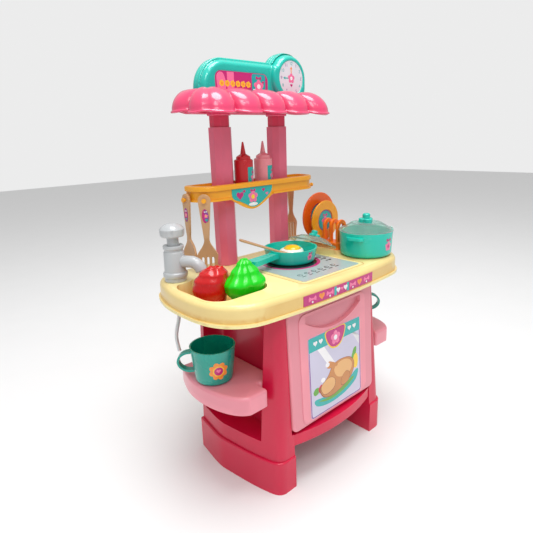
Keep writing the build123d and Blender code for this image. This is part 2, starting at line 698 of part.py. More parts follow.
with BuildPart() as upper_shelf:
    with BuildSketch(Plane.XY.offset(TRAY_UNDER)):
        add(tray_outline(0))
    extrude(amount=3)
    with BuildSketch(Plane.XY.offset(TRAY_UNDER)):
        add(tray_outline(2.5))
    extrude(amount=TRAY_TOP - TRAY_UNDER)
    with BuildSketch(Plane.XY.offset(TRAY_TOP - TRAY_RIM)):
        add(tray_outline(0))
    extrude(amount=TRAY_RIM)
    fillet(upper_shelf.faces().sort_by(Axis.Z)[-1].edges(), 3)
    with BuildSketch(Plane.XY.offset(TRAY_UNDER + 6)):
        add(tray_outline(9))
    extrude(amount=30, mode=Mode.SUBTRACT)
    # label tab on the front
    with BuildSketch(Plane.XZ.offset(-TRAY_FRONT - 2.5)):
        with BuildLine():
            Line((TAB_X - TAB_HALF - 8, TRAY_UNDER + 3), (TAB_X + TAB_HALF + 8, TRAY_UNDER + 3))
            Spline(
                (TAB_X + TAB_HALF + 8, TRAY_UNDER + 3), (TAB_X + TAB_HALF - 14, TAB_SHOULDER),
                (TAB_X, TAB_DROP), (TAB_X - TAB_HALF + 14, TAB_SHOULDER),
                (TAB_X - TAB_HALF - 8, TRAY_UNDER + 3),
                tangents=[(-1, -0.4), (-1, 0.4)],
            )
        make_face()
    extrude(amount=-WALL)
    with BuildSketch(Plane.XY.offset(TRAY_UNDER)):
        with Locations((TAB_X, TRAY_FRONT + 1.25)):
            Rectangle(2 * TAB_HALF, 2.5)
    extrude(amount=3, mode=Mode.SUBTRACT)
    # sleeves that the posts pass through
    with BuildSketch(Plane.XY.offset(TRAY_UNDER)):
        with Locations(*post_places):
            add(post_section(POST_W + 0.6, POST_D + 0.6))
    extrude(amount=60, mode=Mode.SUBTRACT)
    for spot in peg_spots:
        with BuildSketch(peg_plane(spot).offset(-4)):
            Circle(PEG_R)
        extrude(amount=12.5)
        with BuildSketch(peg_plane(spot).offset(8)):
            Circle(3.6)
        extrude(amount=2.5)
save(upper_shelf.part, "upper_shelf")

STICKER_TOP = TRAY_TOP - TRAY_RIM - 0.5
with BuildPart() as shelf_sticker:
    with BuildSketch(Plane.XZ.offset(-TRAY_FRONT - 2.5)):
        with BuildLine():
            Line((TAB_X - TAB_HALF + 2, STICKER_TOP), (TAB_X + TAB_HALF - 2, STICKER_TOP))
            Spline(
                (TAB_X + TAB_HALF - 2, STICKER_TOP), (TAB_X + TAB_HALF - 17, TAB_SHOULDER + 3.5),
                (TAB_X, TAB_DROP + 3.5), (TAB_X - TAB_HALF + 17, TAB_SHOULDER + 3.5),
                (TAB_X - TAB_HALF + 2, STICKER_TOP),
                tangents=[(0.2, -1), (0.2, 1)],
            )
        make_face()
    extrude(amount=STICKER)
save(shelf_sticker.part, "shelf_sticker")

# ---------------------------------------------------------------- canopy
LOBE_R = LOBE_PITCH / 2
CANOPY_HALF_X = 2.5 * LOBE_PITCH


def canopy_outline(inset):
    """Scalloped plan of the canopy: five lobes in front, two at each end."""
    with BuildSketch() as sketch:
        with Locations((0, (CANOPY_FRONT + CANOPY_BACK) / 2)):
            Rectangle(2 * CANOPY_HALF_X - 2 * inset, CANOPY_BACK - CANOPY_FRONT - 2 * inset)
        with Locations(*[(k * LOBE_PITCH, CANOPY_FRONT + 12) for k in range(-2, 3)]):
            Circle(LOBE_R + 1 - inset)
        with Locations(*[
            (side * (CANOPY_HALF_X - 12), y) for side in (-1, 1) for y in (CANOPY_FRONT + 22, 92)
        ]):
            Circle(25 - inset)
        with Locations((0, CANOPY_BACK + 20)):
            Rectangle(400, 40, mode=Mode.SUBTRACT)
    return sketch.sketch


with BuildPart() as canopy:
    with BuildSketch(Plane.XY.offset(CANOPY_Z)):
        add(canopy_outline(0))
    extrude(amount=20)
    with BuildSketch(Plane.XY.offset(CANOPY_Z + 20)):
        add(canopy_outline(0))
    extrude(amount=CANOPY_TOP - CANOPY_Z - 20, taper=38)
    with BuildSketch(Plane.XY.offset(CANOPY_Z)):
        add(canopy_outline(3.5))
    extrude(amount=18, mode=Mode.SUBTRACT)
    with BuildSketch(Plane.XY.offset(CANOPY_Z + 18)):
        with Locations((0, 72)):
            Rectangle(240, 60)
    extrude(amount=15, taper=30, mode=Mode.SUBTRACT)
    # sockets for the necks
    with BuildSketch(Plane.XY.offset(CANOPY_Z + 2)):
        with Locations(*post_places):
            add(post_section(NECK_W + 6, NECK_D + 6))
    extrude(amount=34)
    with BuildSketch(Plane.XY.offset(CANOPY_Z)):
        with Locations(*post_places):
            add(post_section(NECK_W + 0.6, NECK_D + 0.6))
    extrude(amount=14, mode=Mode.SUBTRACT)
    # pocket that the sign stands in
    with BuildSketch(Plane.XY.offset(SIGN_Z)):
        with Locations(((SIGN_LEFT + CLOCK_X + CLOCK_R) / 2, (SIGN_FRONT + SIGN_BACK) / 2)):
            Rectangle(CLOCK_X + CLOCK_R - SIGN_LEFT + 2, SIGN_BACK - SIGN_FRONT + 1.2)
        with Locations((CLOCK_X, (CLOCK_FRONT + SIGN_FRONT) / 2 + 3)):
            Rectangle(2 * CLOCK_R + 2, SIGN_FRONT - CLOCK_FRONT + 6 + 1.2)
    extrude(amount=40, mode=Mode.SUBTRACT)
save(canopy.part, "canopy")


# ---------------------------------------------------------------- sign with clock
def sign_outline(inset):
    """Front view of the sign: a long rounded board that runs into a round clock."""
    with BuildSketch() as sketch:
        with BuildLine():
            Line((CLOCK_X, SIGN_Z + inset + GAP), (SIGN_LEFT + inset, SIGN_Z + inset + GAP))
            Line((SIGN_LEFT + inset, SIGN_Z + inset + GAP), (SIGN_LEFT + inset, SIGN_TOP - 46))
            ThreePointArc(
                (SIGN_LEFT + inset, SIGN_TOP - 46), (SIGN_LEFT + 14 + 0.7 * inset, SIGN_TOP - 14 - 0.7 * inset),
                (SIGN_LEFT + 46, SIGN_TOP - inset),
            )
            Line((SIGN_LEFT + 46, SIGN_TOP - inset), (CLOCK_X, SIGN_TOP - inset))
            Line((CLOCK_X, SIGN_TOP - inset), (CLOCK_X, SIGN_Z + inset + GAP))
        make_face()
        with Locations((CLOCK_X, CLOCK_Z)):
            Circle(CLOCK_R - inset)
        with Locations((CLOCK_X, (SIGN_Z + CLOCK_Z + GAP + inset) / 2)):
            Rectangle(2 * CLOCK_R - 2 * inset, CLOCK_Z - SIGN_Z - GAP - inset)
        with Locations((CLOCK_X, SIGN_Z + GAP + inset - 10)):
            Rectangle(2 * CLOCK_R, 20, mode=Mode.SUBTRACT)
    return sketch.sketch


SIGN_SPLIT = 94.0
with BuildPart() as sign_front:
    with BuildSketch(Plane.XZ.offset(-SIGN_SPLIT)):
        add(sign_outline(0))
    extrude(amount=SIGN_SPLIT - SIGN_FRONT)
    with BuildSketch(Plane.XZ.offset(-SIGN_FRONT - 4)):
        with Locations((CLOCK_X, CLOCK_Z)):
            Circle(CLOCK_R - 1)
        with Locations((CLOCK_X, SIGN_Z + GAP - 10)):
            Rectangle(2 * CLOCK_R, 20, mode=Mode.SUBTRACT)
    extrude(amount=SIGN_FRONT + 4 - CLOCK_FRONT)
    fillet(sign_front.faces().sort_by(Axis.Y)[0].edges(), 6)
    # recesses for the label and the dial
    with BuildSketch(Plane.XZ.offset(-SIGN_FRONT)):
        with Locations((SIGN_LABEL_X, SIGN_TOP - 39)):
            RectangleRounded(SIGN_LABEL_W, SIGN_LABEL_H, 12)
    extrude(amount=-1.2, mode=Mode.SUBTRACT)
    with BuildSketch(Plane.XZ.offset(-CLOCK_FRONT)):
        with Locations((CLOCK_X, CLOCK_Z)):
            Circle(DIAL_R + GAP)
    extrude(amount=-2.4, mode=Mode.SUBTRACT)
    with BuildSketch(Plane.XZ.offset(-SIGN_SPLIT)):
        add(sign_outline(WALL))
    extrude(amount=SIGN_SPLIT - SIGN_FRONT - WALL - 1.2, mode=Mode.SUBTRACT)
save(sign_front.part, "sign_front")

with BuildPart() as sign_back:
    with BuildSketch(Plane.XZ.offset(-SIGN_SPLIT)):
        add(sign_outline(0))
    extrude(amount=SIGN_SPLIT - SIGN_BACK)
    fillet(sign_back.faces().sort_by(Axis.Y)[-1].edges(), 5)
    with BuildSketch(Plane.XZ.offset(-SIGN_SPLIT)):
        add(sign_outline(WALL))
    extrude(amount=SIGN_SPLIT - SIGN_BACK + WALL, mode=Mode.SUBTRACT)
save(sign_back.part, "sign_back")

with BuildPart() as sign_sticker:
    with BuildSketch(Plane.XZ.offset(-SIGN_FRONT - 1.2)):
        with Locations((SIGN_LABEL_X, SIGN_TOP - 39)):
            RectangleRounded(SIGN_LABEL_W - 1, SIGN_LABEL_H - 1, 11.5)
    extrude(amount=STICKER)
save(sign_sticker.part, "sign_sticker")

with BuildPart() as clock_dial:
    with BuildSketch(Plane.XZ.offset(-CLOCK_FRONT - 2.4)):
        with Locations((CLOCK_X, CLOCK_Z)):
            Circle(DIAL_R)
    extrude(amount=1.2)
save(clock_dial.part, "clock_dial")

# ---------------------------------------------------------------- hanging utensils
UTENSIL_BACK, UTENSIL_THICK = 1.6, 4.0
EYE_R = 10.0
PEG_HOLE_R = PEG_R + 0.08


def utensil_outline(neck, head):
    """Outline of a utensil from its eye down; both curves are given for the right-hand half."""
    square_end = head[-1][0] > 0
    with BuildSketch() as sketch:
        with BuildLine():
            ThreePointArc((0, EYE_R), (EYE_R * 0.7071, EYE_R * 0.7071), (EYE_R, 0))
            Line((EYE_R, 0), neck)
            Spline(neck, *head, tangents=[(-0.1, -1), (0, -1) if square_end else (-1, 0)])
            if square_end:
                Line(head[-1], (0, head[-1][1]))
            mirror(about=Plane.YZ)
        make_face()
        if square_end:
            fillet(sketch.vertices().sort_by(Axis.Y)[0:2], 4)
        Circle(PEG_HOLE_R, mode=Mode.SUBTRACT)
    return sketch.sketch


def slots(places, length, width):
    """Upright drain slots."""
    with BuildSketch() as sketch:
        with Locations(*places):
            SlotOverall(length, width, rotation=90)
    return sketch.sketch


def utensil(spot, outline, holes):
    """A flat utensil, hung on its peg."""
    plane = peg_plane(spot).offset(UTENSIL_BACK)
    with BuildPart() as tool:
        with BuildSketch(plane):
            add(outline)
        extrude(amount=UTENSIL_THICK)
        if holes:
            with BuildSketch(plane):
                add(holes)
            extrude(amount=UTENSIL_THICK, mode=Mode.SUBTRACT)
    return tool.part


def handle_label(spot):
    """Oval label on a utensil's handle."""
    with BuildPart() as label:
        with BuildSketch(peg_plane(spot).offset(UTENSIL_BACK + UTENSIL_THICK)):
            with Locations((0, -24)):
                Ellipse(5, 11)
        extrude(amount=0.4)
    return label.part


spoon_outline = utensil_outline((5.3, -50), [(3.8, -61), (15.6, -82), (0, -102)])
fork_outline = utensil_outline((4.8, -56), [(4.4, -64), (15.4, -84), (15, -112)])
turner_outline = utensil_outline((4.4, -50), [(6, -59), (15, -73), (13.5, -112)])
fork_slots = slots([(-8, -108), (0, -108), (8, -108)], 34, 3.6)
turner_slots = slots([(-7, -91), (0, -91), (7, -91)], 30, 3.4)

save(utensil("left_end", spoon_outline, None), "spoon")
save(utensil("left_front", fork_outline, fork_slots), "fork")
save(utensil("right_back", turner_outline, turner_slots), "turner")
save(handle_label("left_end"), "spoon_label")
save(handle_label("left_front"), "fork_label")
save(handle_label("right_back"), "turner_label")

# ---------------------------------------------------------------- mugs
MUG_X, MUG_Y, MUG_H = 173.0, -7.0, 56.0
MUG_BASE_R, MUG_MOUTH_R, MUG_WALL = 28.5, 35.0, 2.4


def mug(side, heading):
    """Tapered cup with a strap handle that points along the heading."""
    plane = Plane(
        origin=(side * MUG_X, MUG_Y, SHELF_TOP + 0.3),
        x_dir=(cos(radians(heading)), sin(radians(heading)), 0),
        z_dir=(0, 0, 1),
    )
    with BuildPart() as cup:
        with BuildSketch(plane):
            Circle(MUG_BASE_R)
        with BuildSketch(plane.offset(MUG_H)):
            Circle(MUG_MOUTH_R)
        loft()
        fillet(cup.faces().sort_by(Axis.Z)[0].edges(), 5)
        upright = Plane(origin=plane.origin, x_dir=plane.x_dir, z_dir=-plane.y_dir)
        with BuildSketch(upright.offset(-5.5)):
            with Locations((35, 30)):
                Ellipse(20.5, 17)
                Ellipse(17.2, 13.7, mode=Mode.SUBTRACT)
            with Locations((13, 30)):
                Rectangle(31, 50, mode=Mode.SUBTRACT)
        extrude(amount=11)
        with BuildSketch(plane.offset(MUG_WALL)):
            Circle(MUG_BASE_R - MUG_WALL)
        with BuildSketch(plane.offset(MUG_H)):
            Circle(MUG_MOUTH_R - MUG_WALL)
        loft(mode=Mode.SUBTRACT)
    return cup.part


save(mug(-1, 138.0), "left_mug")
save(mug(1, -42.0), "right_mug")

# ---------------------------------------------------------------- frying pan
PAN_HANDLE_HEADING = 189.2
PAN_HANDLE_Z = COOK_Z + 14
PAN_HANDLE_THICK = 8.5
PAN_WALL = 2.4
pan_plane = Plane(origin=(PAN_X, PAN_Y, COOK_Z))
handle_dir = (cos(radians(PAN_HANDLE_HEADING)), sin(radians(PAN_HANDLE_HEADING)), 0)
with BuildPart() as pan:
    with BuildSketch(pan_plane):
        Circle(PAN_R - 5)
    with BuildSketch(pan_plane.offset(PAN_H)):
        Circle(PAN_R)
    loft()
    fillet(pan.faces().sort_by(Axis.Z)[0].edges(), 5)
    with BuildSketch(Plane(origin=(PAN_X, PAN_Y, PAN_HANDLE_Z), x_dir=handle_dir, z_dir=(0, 0, 1))):
        with BuildLine():
            Polyline((38, -9), (58, -8), (99, -10.5), (99, 10.5), (58, 8), (38, 9), (38, -9))
        make_face()
        with Locations((99, 0)):
            Circle(10.5)
    extrude(amount=PAN_HANDLE_THICK)
    with BuildSketch(pan_plane.offset(PAN_WALL)):
        Circle(PAN_R - 5 - PAN_WALL)
    with BuildSketch(pan_plane.offset(PAN_H)):
        Circle(PAN_R - PAN_WALL)
    loft(mode=Mode.SUBTRACT)
save(pan.part, "pan")

EGG_X, EGG_Y = PAN_X + 9.0, PAN_Y + 4.5
EGG_Z = COOK_Z + PAN_WALL + 0.3
YOLK_R = 15.4
with BuildPart() as egg_white:
    with BuildSketch(Plane.XY.offset(EGG_Z)):
        with Locations((EGG_X, EGG_Y)):
            Ellipse(26, 24.5)
    extrude(amount=17)
    fillet(egg_white.faces().sort_by(Axis.Z)[-1].edges(), 6)
    with BuildSketch(Plane.XY.offset(EGG_Z + 12)):
        with Locations((EGG_X, EGG_Y)):
            Circle(YOLK_R + 0.1)
    extrude(amount=10, mode=Mode.SUBTRACT)
save(egg_white.part, "egg_white")

with BuildPart() as egg_yolk:
    with BuildSketch(Plane.XY.offset(EGG_Z + 12)):
        with Locations((EGG_X, EGG_Y)):
            Circle(YOLK_R)
    extrude(amount=12)
    fillet(egg_yolk.faces().sort_by(Axis.Z)[-1].edges(), 7)
save(egg_yolk.part, "egg_yolk")

# serving spoon that leans over the pan's rim
LADLE_RISE = 0.34
ladle_dir = Vector(-0.75, 0.55, LADLE_RISE).normalized()
ladle_across = Vector(0, 0, 1).cross(ladle_dir).normalized()
ladle_plane = Plane(
    origin=(PAN_X - 37.5, PAN_Y - 1.5, COOK_Z + 22.8), x_dir=ladle_dir, z_dir=ladle_dir.cross(ladle_across)
)
with BuildPart() as pan_spoon:
    with BuildSketch(ladle_plane):
        with BuildLine():
            Polyline((-8, -3), (60, -5.5), (60, 5.5), (-8, 3), (-8, -3))
        make_face()
        with Locations((60, 0)):
            Circle(5.5)
        with Locations((-17, 0)):
            Ellipse(13, 8)
    extrude(amount=3.2)
save(pan_spoon.part, "pan_spoon")

# ---------------------------------------------------------------- lids
LID_RIM = 2.2
LID_SKIN = 2.0


def domed_lid(plane, radius, dome):
    """Thin clear lid: a flat rim and a shallow dome."""
    crown = radius * 0.55
    with BuildPart() as lid:
        with BuildSketch(plane):
            Circle(radius)
        extrude(amount=LID_RIM)
        with BuildSketch(plane.offset(LID_RIM)):
            Circle(radius - 3)
        with BuildSketch(plane.offset(dome)):
            Circle(crown)
        loft()
        fillet(lid.faces().sort_by(Axis(plane.origin, plane.z_dir))[-1].edges(), 5)
        with BuildSketch(plane):
            Circle(radius - 3 - LID_SKIN)
        with BuildSketch(plane.offset(dome - LID_SKIN)):
            Circle(crown - 1)
        loft(mode=Mode.SUBTRACT)
    return lid.part


def lid_knob(plane, height, radius):
    """Moulded knob with a flared, three-lobed skirt."""
    up = Axis(plane.origin, plane.z_dir)
    with BuildPart() as knob:
        with BuildSketch(plane):
            Circle(radius * 0.62)
            with PolarLocations(radius * 0.45, 3):
                Circle(radius * 0.55)
        extrude(amount=height * 0.45)
        fillet(knob.faces().sort_by(up)[-1].edges(), height * 0.15)
        with BuildSketch(plane.offset(height * 0.3)):
            Circle(radius * 0.5)
        extrude(amount=height * 0.7)
        fillet(knob.faces().sort_by(up)[-1].edges(), radius * 0.25)
    return knob.part


# the pan's lid leans on the pan's rim, its low edge on the hob
PAN_LID_R, PAN_LID_DOME = 45.0, 12.0
PAN_LID_X, PAN_LID_Y = 87.0, 23.0
PAN_LID_LOW_Z = TOP_Z + STICKER + 0.5
to_pan = Vector(PAN_X - PAN_LID_X, PAN_Y - PAN_LID_Y, 0)
rim_rise = COOK_Z + PAN_H + 0.8 - PAN_LID_LOW_Z
tilt = atan2(rim_rise, to_pan.length - PAN_R + 0.93 * PAN_LID_R)
pan_lid_plane = Plane(
    origin=(PAN_LID_X, PAN_LID_Y, PAN_LID_LOW_Z + PAN_LID_R * sin(tilt)),
    x_dir=to_pan.normalized() * cos(tilt) + Vector(0, 0, sin(tilt)),
    z_dir=Vector(0, 0, cos(tilt)) - to_pan.normalized() * sin(tilt),
)
save(domed_lid(pan_lid_plane, PAN_LID_R, PAN_LID_DOME), "pan_lid")
save(lid_knob(pan_lid_plane.offset(PAN_LID_DOME), 13.0, 12.0), "pan_lid_knob")

# ---------------------------------------------------------------- pot
POT_WALL = 2.6
POT_EAR_HEADING = 193.0
pot_plane = Plane(origin=(POT_X, POT_Y, TOP_Z + 0.3))
with BuildPart() as pot:
    with BuildSketch(pot_plane):
        Circle(POT_R - 2)
    with BuildSketch(pot_plane.offset(POT_H)):
        Circle(POT_R)
    loft()
    fillet(pot.faces().sort_by(Axis.Z)[0].edges(), 7)
    for heading in (POT_EAR_HEADING, POT_EAR_HEADING - 180):
        ear_dir = (cos(radians(heading)), sin(radians(heading)), 0)
        with BuildSketch(Plane(origin=(POT_X, POT_Y, TOP_Z + POT_H - 10), x_dir=ear_dir, z_dir=(0, 0, 1))):
            with Locations((POT_R, 0)):
                SlotOverall(32, 14, rotation=90)
        extrude(amount=5)
    with BuildSketch(pot_plane.offset(POT_WALL)):
        Circle(POT_R - 2 - POT_WALL)
    with BuildSketch(pot_plane.offset(POT_H)):
        Circle(POT_R - POT_WALL)
    loft(mode=Mode.SUBTRACT)
save(pot.part, "pot")

POT_LID_DOME = 14.0
pot_lid_plane = pot_plane.offset(POT_H + 0.35)
save(domed_lid(pot_lid_plane, POT_R + 0.6, POT_LID_DOME), "pot_lid")
save(lid_knob(pot_lid_plane.offset(POT_LID_DOME), 16.0, 14.0), "pot_lid_knob")

# ---------------------------------------------------------------- dish rack and plates
RACK_FLOOR = TOP_Z + 13.0
ARCH_HALF, ARCH_HOLE, ARCH_RISE, ARCH_THICK = 13.4, 5.6, 31.0, 4.4
arch_places = [RACK_FRONT + 5 + k * RACK_PITCH for k in range(5)]


def arch_outline(half, base):
    """Front view of a rack loop, round at the top."""
    with BuildSketch() as sketch:
        with Locations((RACK_X, RACK_FLOOR + ARCH_RISE)):
            Circle(half)
        with Locations((RACK_X, (base + RACK_FLOOR + ARCH_RISE) / 2)):
            Rectangle(2 * half, RACK_FLOOR + ARCH_RISE - base)
    return sketch.sketch


with BuildPart() as dish_rack:
    with BuildSketch(Plane.XY.offset(TOP_Z + 0.1)):
        with Locations((RACK_X, (RACK_FRONT + RACK_BACK) / 2)):
            RectangleRounded(28, RACK_BACK - RACK_FRONT, 5)
    extrude(amount=RACK_FLOOR - TOP_Z - 0.1)
    for arch_y in arch_places:
        with BuildSketch(Plane.XZ.offset(-arch_y)):
            add(arch_outline(ARCH_HALF, RACK_FLOOR - 4))
            add(arch_outline(ARCH_HOLE, RACK_FLOOR), mode=Mode.SUBTRACT)
        extrude(amount=ARCH_THICK / 2, both=True)
save(dish_rack.part, "dish_rack")

PLATE_THICK = 4.0


def plate(y, radius):
    """A plate on edge in the rack, its eating side to the front."""
    centre = (RACK_X, RACK_FLOOR + 0.3 + radius)
    with BuildPart() as dish:
        with BuildSketch(Plane.XZ.offset(-y - PLATE_THICK / 2)):
            with Locations(centre):
                Circle(radius)
        extrude(amount=PLATE_THICK)
        fillet(dish.faces().filter_by(Axis.Y).edges(), 1.2)
        with BuildSketch(Plane.XZ.offset(-y + PLATE_THICK / 2)):
            with Locations(centre):
                Circle(radius * 0.56)
        extrude(amount=-1.6, taper=20, mode=Mode.SUBTRACT)
    return dish.part


save(plate(arch_places[2] + RACK_PITCH / 2, 38.5), "small_plate")
save(plate(arch_places[3] + RACK_PITCH / 2, 46.0), "large_plate")

# ---------------------------------------------------------------- sauce bottles
bottle_places = {"red": -24.6, "pink": 20.5}
BOTTLE_Y, BOTTLE_Z = 79.0, TRAY_UNDER + 6.3
BOTTLE_R, BOTTLE_BODY_H = 16.2, 54.5


def bottle_body(x):
    """Round squeeze bottle."""
    with BuildPart() as flask:
        with BuildSketch(Plane.XY.offset(BOTTLE_Z)):
            with Locations((x, BOTTLE_Y)):
                Circle(BOTTLE_R)
        extrude(amount=BOTTLE_BODY_H)
        fillet(flask.edges().filter_by(GeomType.CIRCLE), 2.5)
    return flask.part


def bottle_nozzle(x):
    """Cap that steps in and runs up into a nozzle."""
    cap_plane = Plane(origin=(x, BOTTLE_Y, BOTTLE_Z + BOTTLE_BODY_H), x_dir=(1, 0, 0), z_dir=(0, -1, 0))
    with BuildPart() as cap:
        with BuildSketch(cap_plane):
            with BuildLine():
                Polyline(
                    (0, 0), (12.6, 0), (12, 4.5), (9, 6.4), (4.8, 9), (1.4, 28.4), (0, 29), (0, 0)
                )
            make_face()
        revolve(axis=Axis((x, BOTTLE_Y, 0), (0, 0, 1)))
    return cap.part


for name, x in bottle_places.items():
    save(bottle_body(x), f"{name}_bottle")
    save(bottle_nozzle(x), f"{name}_nozzle")


# ---------------------------------------------------------------- vegetables in the sink
VEG_Z = SINK_FLOOR + 0.3


def vegetable(x, y, rings, end_round):
    """Solid lofted through rings, each given as its height, radius and shift along X and Y."""
    with BuildPart() as veg:
        for height, radius, shift_x, shift_y in rings:
            with BuildSketch(Plane.XY.offset(VEG_Z + height)):
                with Locations((x + shift_x, y + shift_y)):
                    Circle(radius)
        loft()
        fillet(veg.faces().filter_by(Axis.Z).edges(), end_round)
    return veg.part


red_rings = [(0, 18, 0, 0), (28, 27, 1, 0), (48, 26, 4, -2), (64, 17, 7, -4)]
green_rings = [(0, 17, 0, 0), (32, 23, 4, -4), (68, 7, -2, 2)]
save(vegetable(-166.0, -8.0, red_rings, 7), "red_pepper")
save(vegetable(-122.0, -34.0, green_rings, 4), "green_pepper")
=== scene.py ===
"""Looks of the toy kitchen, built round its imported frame. Metres, +Z up."""
import math
import random

import bmesh
import bpy
from mathutils import Matrix, Vector
from mathutils.kdtree import KDTree


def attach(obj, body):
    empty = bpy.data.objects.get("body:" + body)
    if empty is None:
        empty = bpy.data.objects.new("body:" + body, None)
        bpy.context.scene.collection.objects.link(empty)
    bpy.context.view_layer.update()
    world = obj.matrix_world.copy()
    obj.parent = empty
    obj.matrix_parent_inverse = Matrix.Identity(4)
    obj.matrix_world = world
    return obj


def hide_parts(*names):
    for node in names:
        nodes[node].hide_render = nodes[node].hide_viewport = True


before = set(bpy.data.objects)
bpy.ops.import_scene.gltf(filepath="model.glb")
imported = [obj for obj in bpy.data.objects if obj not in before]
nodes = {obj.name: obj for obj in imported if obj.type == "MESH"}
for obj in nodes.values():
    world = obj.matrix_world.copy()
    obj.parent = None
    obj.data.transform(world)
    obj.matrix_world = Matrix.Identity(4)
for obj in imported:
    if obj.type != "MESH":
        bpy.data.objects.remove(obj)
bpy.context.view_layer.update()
MM = 0.001
TAU = 2 * math.pi
random.seed(7)


# ---------------------------------------------------------------- camera, floor and light
def add_camera():
    """Camera at the photograph's viewing angle."""
    yaw, pitch, roll = math.radians(41.94), math.radians(15.94), math.radians(-1.94)
    forward = Vector((math.sin(yaw) * math.cos(pitch), math.cos(yaw) * math.cos(pitch), -math.sin(pitch)))
    right = Vector((math.cos(yaw), -math.sin(yaw), 0))
    up = right.cross(forward)
    cam_x = right * math.cos(roll) + up * math.sin(roll)
    cam_y = up * math.cos(roll) - right * math.sin(roll)
    data = bpy.data.cameras.new("camera")
    data.sensor_width = 36
    data.lens = 30.28
    cam = bpy.data.objects.new("camera", data)
    bpy.context.scene.collection.objects.link(cam)
    place = Matrix((cam_x, cam_y, -forward)).transposed().to_4x4()
    place.translation = Vector((-0.5254, -0.5284, 0.5403))
    cam.matrix_world = place
    bpy.context.scene.camera = cam


def add_area(name, place, target, size, power, depth=None):
    """Soft box light, round or, where a depth is given, a strip."""
    data = bpy.data.lights.new(name, "AREA")
    data.shape = "RECTANGLE" if depth else "DISK"
    data.size = size
    if depth:
        data.size_y = depth
    data.energy = power
    light = bpy.data.objects.new(name, data)
    light.location = place
    light.rotation_euler = (Vector(target) - Vector(place)).to_track_quat("-Z", "Y").to_euler()
    bpy.context.scene.collection.objects.link(light)


def add_world():
    """White surroundings, brighter from above."""
    world = bpy.data.worlds.new("world")
    world.use_nodes = True
    tree = world.node_tree
    place = tree.nodes.new("ShaderNodeTexCoord")
    parts = tree.nodes.new("ShaderNodeSeparateXYZ")
    tree.links.new(place.outputs["Generated"], parts.inputs["Vector"])
    ramp = tree.nodes.new("ShaderNodeMapRange")
    ramp.inputs["From Min"].default_value = 0.0
    ramp.inputs["From Max"].default_value = 0.9
    ramp.inputs["To Min"].default_value = SKY_LOW
    ramp.inputs["To Max"].default_value = SKY_HIGH
    tree.links.new(parts.outputs["Z"], ramp.inputs["Value"])
    sight = tree.nodes.new("ShaderNodeLightPath")
    pale = tree.nodes.new("ShaderNodeMix")
    pale.inputs["B"].default_value = 0.84
    tree.links.new(sight.outputs["Is Camera Ray"], pale.inputs["Factor"])
    tree.links.new(ramp.outputs["Result"], pale.inputs["A"])
    back = tree.nodes["Background"]
    back.inputs["Color"].default_value = (1, 1, 1, 1)
    tree.links.new(pale.outputs["Result"], back.inputs["Strength"])
    bpy.context.scene.world = world


SKY_LOW, SKY_HIGH = 0.36, 0.75
add_camera()
add_world()
add_area("key", (-1.1, -1.3, 2.0), (0, 0, 0.35), 0.9, 9)
add_area("top", (0.0, -0.2, 2.3), (0, 0, 0.3), 1.2, 30)
add_area("strip_near", (-0.4, -1.1, 1.75), (0, 0, 0.6), 1.3, 2.2, depth=0.03)
add_area("strip_far", (-0.3, -0.85, 1.85), (0, 0, 0.6), 1.3, 2.2, depth=0.03)
bpy.context.scene.view_settings.view_transform = "Standard"


# ---------------------------------------------------------------- materials
def linear(value):
    value /= 255
    return value / 12.92 if value <= 0.04045 else ((value + 0.055) / 1.055) ** 2.4


def rgb(r, g, b):
    """Colour from 8-bit display values."""
    return (linear(r), linear(g), linear(b), 1.0)


def link(tree, out, into):
    tree.links.new(out, into)


def node_of(tree, kind, **inputs):
    made = tree.nodes.new(kind)
    for key, value in inputs.items():
        made.inputs[key.replace("_", " ")].default_value = value
    return made


